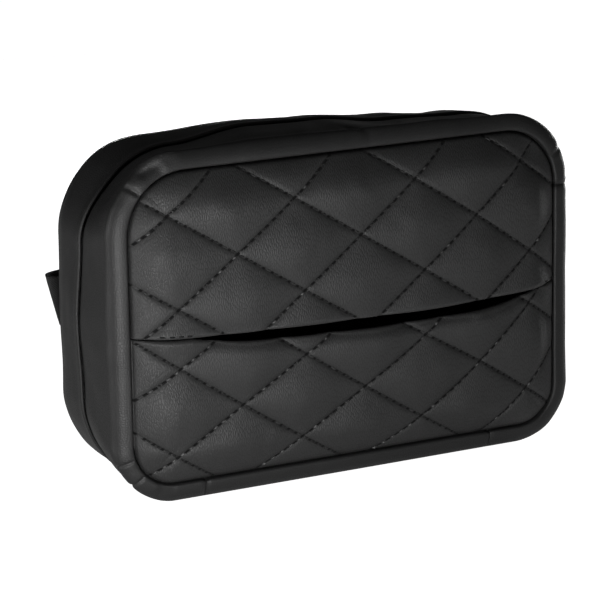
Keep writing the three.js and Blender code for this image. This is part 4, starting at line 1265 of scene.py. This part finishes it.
# %% Linings of the gusset
TAPE_WALL = 0.6 * MM
TAPE_WIDTH = 11 * MM
COIL_WIDTH = 2 * MM
COIL_HEIGHT = 1.5 * MM
COIL_GAP = 1.2 * MM
STOP_LENGTH = 3 * MM
TAPE_INSET = WALL + CLEARANCE
TAPE_END = COIL_GAP / 2 + COIL_WIDTH + CLEARANCE  # from the middle of the zip
TAPE_START = TAPE_END + TAPE_WIDTH
BAND_INSET = SEAT_INSET + CLEARANCE


def lining_line(seam, end_y):
    """The lining's outer face: a slope from beside the binding up to the wall, then the wall to end_y."""
    part = np.linspace(0, 1, 8)
    start, end = seam.foot + BINDING_WALL + 2 * CLEARANCE, seam.foot + ROLL_FOOT + CLEARANCE
    y = seam.y + seam.inward * (start + (end - start) * part)
    side = (seam.side - BAND_INSET) * (1 - part) + (side_out(y[-1]) - TAPE_INSET) * part
    floor = (seam.floor - BAND_INSET) * (1 - part) + (FLOOR_ROLL - TAPE_INSET) * part
    flat = inner_wall(np.linspace(y[-1], end_y, 6)[1:], TAPE_INSET)
    return np.concatenate([section_of(y, side, floor, 0), flat])


def strip(name, section, cuts, body, material, slot, node):
    """A section carried between two cuts."""
    points = outline(*section.T, spread(*cuts, CLOTH_STEP))
    placed(carried(name, points), body, material, slot, node)


CLOTH_STEP = 1.8 * MM
front_line = lining_line(FRONT_SEAM, ZIP_Y - TAPE_START - CLEARANCE)
rear_line = lining_line(BACK_SEAM, ZIP_Y + TAPE_START + CLEARANCE)
base_line = np.concatenate([lining_line(FRONT_SEAM, ZIP_Y), lining_line(BACK_SEAM, ZIP_Y)[-2::-1]])
for name, line, cuts, body, node in (
    ("front_edge_lining", front_line, side_cuts, "pouch", "front_gusset_lining"),
    ("rear_edge_lining", rear_line, side_cuts, BENT, "rear_gusset_lining"),
    ("base_lining", base_line, base_cuts, BENT, "bottom_lining"),
):
    section = np.concatenate([line, (line - [0, LINING_WALL, LINING_WALL, 0])[::-1]])
    strip(name, section, cuts(section), body, lining_cloth, "lining", node)


# %% Bindings and zip tapes
def rounded_section(half_y, half_inset, power=0.3, count=24):
    """A rectangle with round corners: a circle whose sine and cosine are raised to a small power."""
    angle = (np.arange(count) + 0.5) * math.tau / count
    shaped = lambda value: np.sign(value) * np.abs(value) ** power
    return half_y * shaped(np.sin(angle)), half_inset * shaped(np.cos(angle))


for name, seam, body, node in (
    ("front_binding", FRONT_SEAM, "pouch", "front_seam_binding"),
    ("rear_binding", BACK_SEAM, "cover", "back_seam_binding"),
):
    up, across = rounded_section(BINDING_WALL / 2, BINDING_WIDTH / 2)
    y = seam.y + seam.inward * (seam.foot + BINDING_WALL / 2) + up
    inset = BAND_INSET + BINDING_WIDTH / 2 + across
    points = outline(y, seam.side - inset, seam.floor - inset, 0, spread(0, 8, CLOTH_STEP)[:-1])
    placed(carried(name, points, closed=True), body, tape_cloth, "tape", node)

ZIP_END_X = SPLICE_X + STOP_LENGTH + 3 * CLEARANCE
for name, side, body, node in (
    ("front_zip_tape", -1, "pouch", "zip_tape_front"),
    ("rear_zip_tape", 1, BENT, "zip_tape_rear"),
):
    across, thick = rounded_section(TAPE_WIDTH / 2, TAPE_WALL / 2)
    y = ZIP_Y + side * (TAPE_START + TAPE_END) / 2 + across
    section = inner_wall(y, TAPE_INSET + TAPE_WALL / 2 + thick)
    strip(name, section, side_cuts(section, ZIP_END_X), body, tape_cloth, "tape", node)

# %% [markdown]
# A nylon zip has no separate teeth: each row is one stiff thread wound into a flattened spiral. Its centre
# goes round an ellipse while it moves along the outline, and a small circle is carried along that curve.

# %% Zip coils
COIL_PITCH = 1.5 * MM
COIL_WIRE = 0.32 * MM  # radius
COIL_INSET = TAPE_INSET + TAPE_WALL / 2
COIL_STEPS = 9  # in one turn of the spiral
COIL_SIDES = 5


def zip_coil(name, side):
    """A tube round a spiral. At each place the tube's ring is square to the curve: one axis points away from
    the spiral's middle and the other is the cross product of that axis and the curve's direction."""
    middle = np.array([ZIP_Y + side * (COIL_GAP + COIL_WIDTH) / 2])
    core = inner_wall(middle, COIL_INSET)
    turns = spread(*side_cuts(core, ZIP_END_X), COIL_PITCH / COIL_STEPS)[:, 0]
    phase = np.arange(len(turns)) * math.tau / COIL_STEPS
    y = middle + (COIL_WIDTH / 2 - COIL_WIRE) * np.cos(phase)
    inset = COIL_INSET + (COIL_HEIGHT / 2 - COIL_WIRE) * np.sin(phase)
    centre = outline(*inner_wall(y, inset).T, turns)
    forward = unit(np.gradient(centre, axis=0))
    away = centre - outline(*core.T, turns)
    away = unit(away - forward * np.einsum("ij,ij->i", away, forward)[:, None])
    aside = np.cross(forward, away)
    angle = np.arange(COIL_SIDES) * math.tau / COIL_SIDES
    ring = np.cos(angle)[:, None] * away[:, None] + np.sin(angle)[:, None] * aside[:, None]
    return carried(name, centre[:, None] + COIL_WIRE * ring)


placed(zip_coil("front_zip_coil", -1), "pouch", coil_nylon, "nylon", "zip_coil_front")
placed(zip_coil("rear_zip_coil", 1), BENT, coil_nylon, "nylon", "zip_coil_rear")

# %% [markdown]
# ## Linings of the front
#
# Behind each quilted panel hangs a plain lining. It has the panel's crown without its diamonds, and it stops
# short of the slot.

# %% Front linings
LINING_SLACK = 6 * MM  # the lining's crown starts this much further in
LINING_HEM = 2.5 * MM


def front_lining(name, level, slot_line, base, node, columns=130, rows=50):
    """A thin closed sheet: for each x a section down the front and back up behind."""
    inset = SEAT_INSET + CLEARANCE
    x = (SEAM_HALF - inset) * np.sin(np.linspace(-1, 1, columns)[:, None] * math.pi / 2)
    seam_z = seam_line(x, level, inset)
    hem_z = slot_line(x) + level * LINING_HEM
    z = seam_z + (hem_z - seam_z) * np.linspace(0, 1, rows)
    face = base(x, z, LINING_SLACK) + PANEL_WALL + CLEARANCE
    y = np.concatenate([face, (face + LINING_WALL)[:, ::-1]], axis=1)
    z = np.concatenate([z, z[:, ::-1]], axis=1)
    placed(carried(name, points_at(x, y, z)), "pouch", lining_cloth, "lining", node)


front_lining("upper_lining", 1, flap_edge, upper_base, "front_upper_lining")
front_lining("lower_lining", -1, lower_edge, lower_base, "front_lower_lining")

# %% [markdown]
# ## Back
#
# The back is a plain leather panel over a stiff board. Its edge slopes in to the rear seam. The surface is a
# set of rings: the outline drawn in step by step over the slope, and then shrunk to a point in the middle.

# %% Back panel and its lining
BACK_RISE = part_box("back_panel")[1].y - REAR_Y
BACK_RUN = 12 * MM
BOARD_WALL = 2 * MM


def back_sheet(name, inset, rise, face_y, wall, lump_height):
    """Rings from the edge to the middle and back again behind. rise is the height of the flat middle."""
    turns = spread(0, 8, 1.3 * MM)[:-1]
    insets = inset + (SEAM_INSET + BACK_RUN - inset) * np.linspace(0, 1, 16)
    rim = outline(REAR_Y, REAR_SIDE - insets, REAR_FLOOR - insets, 1, turns)
    centre = np.array([0, REAR_Y, rim[:, -1, 2].mean()])
    shrink = np.linspace(1, 0, 56)[1:, None]
    rings = np.concatenate([rim, centre + (rim[:, -1:] - centre) * shrink], axis=1)
    run = np.concatenate([insets, np.full(len(shrink), BACK_RUN + inset)]) - SEAM_INSET
    lift = rise * ease(run / BACK_RUN)
    x, z = rings[..., 0], rings[..., 2]
    lumps = unevenness(x, z, 26 * MM, 31) + 0.4 * unevenness(x, z, 9 * MM, 32)
    face = face_y + lift + lump_height * lumps * smooth(lift / rise)
    front, back = rings.copy(), rings[:, ::-1].copy()
    front[..., 1], back[..., 1] = face, (face_y + lift - wall)[::-1]
    made = carried(name, np.concatenate([front, back], axis=1), closed=True)
    shape = merged(made.data)
    flat = shape.loops.layers.uv.active
    for face in shape.faces:
        for loop in face.loops:
            loop[flat].uv = loop.vert.co.xz
    shape.to_mesh(made.data)
    shape.free()
    return made


back_leather = back_sheet("back_leather", SEAM_INSET, BACK_RISE, REAR_Y, BACK_WALL, 0.12 * MM)
stored(back_leather, "wear_and_highlight", np.zeros(len(back_leather.data.vertices)))
placed(back_leather, "cover", panel_leather, "leather", "back_panel")
back_cloth = back_sheet(
    "back_cloth", BAND_INSET, BACK_RISE - BOARD_WALL - CLEARANCE, REAR_Y - BACK_SEAM.seat, LINING_WALL, 0
)
placed(back_cloth, "cover", lining_cloth, "lining", "back_lining")
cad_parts["back_board"].material_slots[0].material = pressed_board

# %% [markdown]
# ## Strap
#
# Two lengths of 25 mm webbing are sewn flat to the back near its edges. Each bows out past the side, crosses
# behind the back and goes round a bar of the buckle. The path is a list of given shares, and a flat section
# with round edges is carried along it.

# %% Straps
STRAP_WIDTH = 25 * MM
STRAP_WALL = 1.4 * MM
STRAP_EDGE = 97 * MM  # where the sewn end leaves the back
STRAP_HOLD = 15 * MM  # its length
STRAP_STEP = 0.7 * MM
SELVEDGE = 10.6 * MM  # the shallow groove beside each edge, from the middle
BOW_REACH = 18 * MM
BOW_TILT = 6.4 * MM
FOLD_RUN = 12 * MM
FOLD_LENGTH = 26 * MM
TAIL_LENGTH = 48 * MM
BAR_LENGTH = 3 * MM
BAR_HEIGHT = 2.4 * MM
BOW_SHARES = np.array([(0, 0), (0.45, 0.04), (0.82, 0.2), (1, 0.45), (0.9, 0.74), (0.55, 0.94), (0.1, 1)])

strap_low, strap_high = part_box("strap_left")
female_low, female_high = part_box("buckle_female")
male_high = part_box("buckle_male")[1]
STRAP_Z = (strap_low.z + strap_high.z) / 2
STRAP_Y = strap_high.y - STRAP_WALL / 2
BUCKLE_Y = (female_low.y + female_high.y) / 2
BACK_FLAT = REAR_Y + BACK_RISE
HOLD_Y = BACK_FLAT + CLEARANCE + STRAP_WALL / 2
BAR_SWING = math.hypot(BAR_LENGTH, BAR_HEIGHT) / 2 + CLEARANCE + STRAP_WALL / 2
RETURN_Y = STRAP_Y - STRAP_WALL - CLEARANCE


def strap_path(bar_x, return_length):
    """From the sewn end out over the bow, in to the bar, half a circle round it and back inside. The bow is a
    smooth curve through its shares, and the way back drops by a smooth step."""
    at = np.linspace(0, len(BOW_SHARES) - 1, 60)
    order = np.arange(len(BOW_SHARES))
    bow_x = STRAP_EDGE + BOW_REACH * through(order, BOW_SHARES[:, 0], at)
    bow_y = HOLD_Y + (STRAP_Y - HOLD_Y) * through(order, BOW_SHARES[:, 1], at)
    angle = np.linspace(math.pi / 2, 1.5 * math.pi, 18)
    part = np.linspace(0, 1, 8)[1:]
    inner_y = BUCKLE_Y - BAR_SWING
    x = [[STRAP_EDGE - STRAP_HOLD], bow_x, [bar_x + FOLD_RUN], bar_x + BAR_SWING * np.cos(angle),
         bar_x + FOLD_RUN * part, [bar_x + FOLD_RUN + return_length]]
    y = [[HOLD_Y], bow_y, [STRAP_Y], BUCKLE_Y + BAR_SWING * np.sin(angle),
         inner_y + (RETURN_Y - inner_y) * smooth(part), [RETURN_Y]]
    x, y = np.concatenate(x), np.concatenate(y)
    length = running_length(np.stack([x, y], axis=-1)[:, None])
    even = np.linspace(0, length[-1], int(length[-1] / STRAP_STEP))
    return np.interp(even, length, x), np.interp(even, length, y)


def strap(name, side, bar_x, return_length, node):
    """The path is turned a little further out towards the top of the bow, as worn webbing hangs."""
    path_x, path_y = strap_path(bar_x, return_length)
    slope_x, slope_y = np.gradient(path_x), np.gradient(path_y)
    size = np.hypot(slope_x, slope_y)
    across, thick = rounded_section(STRAP_WIDTH / 2, STRAP_WALL / 2, 0.22, 40)
    offset = thick * (1 - 0.12 * bell((np.abs(across) - SELVEDGE) / (0.7 * MM)))
    lean = BOW_TILT / STRAP_WIDTH * smooth((path_x - STRAP_EDGE) / BOW_REACH)
    x = path_x[:, None] - (slope_y / size)[:, None] * offset + lean[:, None] * across
    y = path_y[:, None] + (slope_x / size)[:, None] * offset
    made = carried(name, points_at(side * x, y, STRAP_Z + across))
    placed(made, "cover", webbing_cloth, "webbing", node)


FEMALE_BAR = -female_low.x - BAR_LENGTH / 2
MALE_BAR = male_high.x - BAR_LENGTH / 2
strap("left_webbing", -1, FEMALE_BAR, FOLD_LENGTH - FOLD_RUN, "strap_left")
strap("right_webbing", 1, MALE_BAR, TAIL_LENGTH, "strap_right")

# %% Stitches that hold the webbing
BOX_HALF = 10 * MM
BOX_MARGIN = 2 * MM
BOX_STITCH = 2.6 * MM


def box_stitches(name, boxes):
    """A sewn square with a cross in it, for each (x0, x1, y). Each of its six lines is cut into even stitches
    with a small gap between them."""
    lines = []
    for x0, x1, y in boxes:
        corners = np.array([(x0, -BOX_HALF), (x0, BOX_HALF), (x1, BOX_HALF), (x1, -BOX_HALF)])
        for a, b in ((0, 1), (1, 2), (2, 3), (3, 0), (0, 2), (1, 3)):
            count = int(np.linalg.norm(corners[b] - corners[a]) / BOX_STITCH)
            part = (np.arange(count)[:, None] + 0.1 + 0.8 * STITCH_SHARES) / count
            flat = corners[a] + (corners[b] - corners[a]) * part[..., None]
            lines.append(points_at(flat[..., 0], y, STRAP_Z + flat[..., 1]))
    return stitch_mesh(name, np.concatenate(lines), (0, 1, 0))


hold_face, fold_face = HOLD_Y + STRAP_WALL / 2, STRAP_Y + STRAP_WALL / 2
fold_start = FEMALE_BAR + FOLD_RUN
strap_stitches = box_stitches("strap_stitches", [
    (STRAP_EDGE - STRAP_HOLD + BOX_MARGIN, STRAP_EDGE - BOX_MARGIN, hold_face),
    (BOX_MARGIN - STRAP_EDGE, STRAP_HOLD - STRAP_EDGE - BOX_MARGIN, hold_face),
    (-fold_start - (FOLD_LENGTH - FOLD_RUN) + 1.5 * MM, -fold_start, fold_face),
])
placed(strap_stitches, "cover", sewing_thread, "webbing")

# %% Keeper
KEEPER_WALL = 1 * MM
keeper_low, keeper_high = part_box("strap_keeper")


def keeper_loop():
    """An elastic band: a flat section carried round a rectangle with round corners."""
    middle = (keeper_low + keeper_high) / 2
    half = (keeper_high - keeper_low) / 2
    around_z, around_y = rounded_section(half.z - KEEPER_WALL / 2, half.y - KEEPER_WALL / 2, 0.35, 72)
    path = points_at(0, middle.y + around_y, middle.z + around_z)
    away = unit(np.cross(np.roll(path, -1, axis=0) - np.roll(path, 1, axis=0), [1.0, 0.0, 0.0]))
    across, thick = rounded_section(half.x, KEEPER_WALL / 2, 0.3, 28)
    points = path[:, None] + away[:, None] * thick[:, None]
    points[..., 0] = middle.x + across
    return carried("keeper_band", points, closed=True)


placed(keeper_loop(), "keeper", elastic_cloth, "webbing", "strap_keeper")

# %% [markdown]
# ## Buckle and zip slider
#
# Moulded and cast pieces have no sharp edges. The CAD solids already have the right form, so each is copied,
# its loose triangles are merged, and every sharp edge is rounded with a bevel.

# %% Rounded copies of hard pieces
FLAT_ANGLE, BEVEL_ANGLE, SHARP_ANGLE = (math.radians(degrees) for degrees in (1, 28, 40))


def rounded_copy(name, node, width, segments=3):
    """A copy of a CAD solid: triangles merged, flat neighbours joined, sharp edges bevelled."""
    shape = merged(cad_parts[node].data)
    bmesh.ops.dissolve_limit(shape, angle_limit=FLAT_ANGLE, verts=shape.verts, edges=shape.edges)
    sharp = [edge for edge in shape.edges if edge.calc_face_angle(0) > BEVEL_ANGLE]
    bmesh.ops.bevel(
        shape, geom=sharp, offset=width, segments=segments, profile=0.5, affect="EDGES", clamp_overlap=True
    )
    bmesh.ops.recalc_face_normals(shape, faces=shape.faces)
    mesh = bpy.data.meshes.new(name)
    shape.to_mesh(mesh)
    shape.free()
    mesh.shade_smooth()
    mesh.set_sharp_from_angle(angle=SHARP_ANGLE)
    return linked(name, mesh)


for name, node, width, body, material, slot in (
    ("buckle_body", "buckle_female", 0.7, "cover", moulded_plastic, "plastic"),
    ("buckle_clip", "buckle_male", 0.7, "cover", moulded_plastic, "plastic"),
    ("upper_prong", "buckle_prong_upper", 0.9, "prong_upper", moulded_plastic, "plastic"),
    ("lower_prong", "buckle_prong_lower", 0.9, "prong_lower", moulded_plastic, "plastic"),
    ("slider_body", "zip_slider", 0.25, "slider", painted_zinc, "zinc"),
    ("pull_tab", "zip_pull", 0.35, "pull", painted_zinc, "zinc"),
    ("left_stop", "zip_stop_left", 0.3, "pouch", painted_zinc, "zinc"),
    ("right_stop", "zip_stop_right", 0.3, "pouch", painted_zinc, "zinc"),
):
    placed(rounded_copy(name, node, width * MM), body, material, slot, node)

# %% [markdown]
# ## Floor, light and camera
#
# The photograph has a white ground and soft light from the left, low and in front, so the top of the holder
# is nearly black and every padded roll has a bright front. The gusset leather is set darker than the panels'
# as painted shade for the top and sides. The camera stands where a fit to the seams put it.
# Lamps at the right and behind show the sides that the photograph doesn't.

# %% Floor and backdrop
FLOOR_SEEN = 1.0
FLOOR_REFLECTED = 0.15


def seen_by_camera(tree):
    """1 for a ray from the camera, straight or through a clear piece, and beside it 1 for a reflected ray."""
    path = shader_node(tree, "ShaderNodeLightPath").outputs
    seen = math_node(tree, "MAXIMUM", path["Is Camera Ray"], path["Is Transmission Ray"])
    return seen, path["Is Glossy Ray"]


def ground_material():
    """A pale surface with the object's shadow, which glows just enough to look white, and dimly in
    reflections."""
    material = bpy.data.materials.new("white_ground")
    material.use_nodes = True
    tree = material.node_tree
    tree.nodes.clear()
    plain = shader_node(tree, "ShaderNodeBsdfDiffuse", {"Color": (0.9, 0.9, 0.9, 1)})
    seen, reflected = seen_by_camera(tree)
    strength = times_plus(tree, seen, FLOOR_SEEN, times(tree, reflected, FLOOR_REFLECTED))
    glow = shader_node(tree, "ShaderNodeEmission", {"Color": (1, 1, 1, 1), "Strength": strength})
    both = shader_node(tree, "ShaderNodeAddShader", {0: plain.outputs[0], 1: glow.outputs[0]})
    shader_node(tree, "ShaderNodeOutputMaterial", {"Surface": both.outputs[0]})
    return material


FLOOR_HALF = 3.0
floor_mesh = bpy.data.meshes.new("floor")
floor_mesh.from_pydata([(x * FLOOR_HALF, y * FLOOR_HALF, 0) for x, y in CORNERS], [], [(0, 1, 2, 3)])
floor_mesh.materials.append(ground_material())
floor = linked("floor", floor_mesh)
floor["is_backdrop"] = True

# %% World and lamps
AMBIENT = 0.035
world = bpy.context.scene.world or bpy.data.worlds.new("studio")
bpy.context.scene.world = world
world.use_nodes = True
world_tree = world.node_tree
world_tree.nodes.clear()
world_level = times_plus(world_tree, seen_by_camera(world_tree)[0], 1 - AMBIENT, AMBIENT)
background = shader_node(world_tree, "ShaderNodeBackground", {"Color": (1, 1, 1, 1), "Strength": world_level})
shader_node(world_tree, "ShaderNodeOutputWorld", {"Surface": background.outputs[0]})


def soft_lamp(name, place, target, size, level):
    """A square lamp. At level 1 a surface at the target that faces it renders about as its colour is written:
    a lamp's power for that is pi squared times the distance squared."""
    lamp = bpy.data.lights.new(name, "AREA")
    away = Vector(place) - Vector(target)
    lamp.size, lamp.energy = size, level * (math.pi * away.length) ** 2
    holder = linked(name, lamp)
    holder.location = place
    holder.rotation_mode = "QUATERNION"
    holder.rotation_quaternion = away.to_track_quat("Z", "Y")
    holder.visible_camera = False


# name, place, target, size and level
for lamp in (
    ("key_lamp", (-0.21, -0.34, 0.03), (-0.05, FRONT_Y, 0.08), 0.12, 0.76),
    ("fill_lamp", (-0.08, -0.7, 0.04), (0, FRONT_Y, 0.08), 0.16, 0.13),
    ("left_lamp", (-0.9, -0.05, 0.09), (-0.12, 0, 0.08), 0.4, 0.36),
    ("right_lamp", (0.7, 0.35, 0.1), (0.12, 0, 0.08), 0.3, 0.9),
    ("rear_lamp", (0.25, 1.1, 0.02), (0, 0, 0.08), 0.2, 0.6),
):
    soft_lamp(*lamp)

# %% Camera
FOCAL_PIXELS = 2999
FRAME_PIXELS = 612
CAMERA_YAW = 27
CAMERA_PITCH = 14.27
CAMERA_ROLL = -0.89
CAMERA_DISTANCE = 1.405
AIM_PIXEL = (316.4, 283.7)  # where the middle of the body appears
AIM_HEIGHT = SEAM_MIDDLE + 2.5 * MM

camera_data = bpy.data.cameras.new("camera")
camera_data.sensor_width = 36
camera_data.lens = FOCAL_PIXELS / FRAME_PIXELS * camera_data.sensor_width
camera = linked("camera", camera_data)
bpy.context.scene.camera = camera
yaw, pitch = math.radians(CAMERA_YAW), math.radians(CAMERA_PITCH)
backward = Vector((-math.sin(yaw) * math.cos(pitch), -math.cos(yaw) * math.cos(pitch), math.sin(pitch)))
camera.location = Vector((0, 0, AIM_HEIGHT)) + backward * CAMERA_DISTANCE
camera.rotation_mode = "QUATERNION"
level_view = backward.to_track_quat("Z", "Y")
rolled = level_view.to_matrix() @ Matrix.Rotation(math.radians(CAMERA_ROLL), 3, "Z")
camera.rotation_quaternion = rolled.to_quaternion()
camera_data.shift_x = (FRAME_PIXELS / 2 - AIM_PIXEL[0]) / FRAME_PIXELS
camera_data.shift_y = (AIM_PIXEL[1] - FRAME_PIXELS / 2) / FRAME_PIXELS
camera_data.clip_start, camera_data.clip_end = 0.05, 20

bpy.context.scene.view_settings.view_transform = "Standard"

# %% Size of the finished model
made_bounds = [list(corner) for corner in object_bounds()]
print("visual box in metres:", made_bounds)
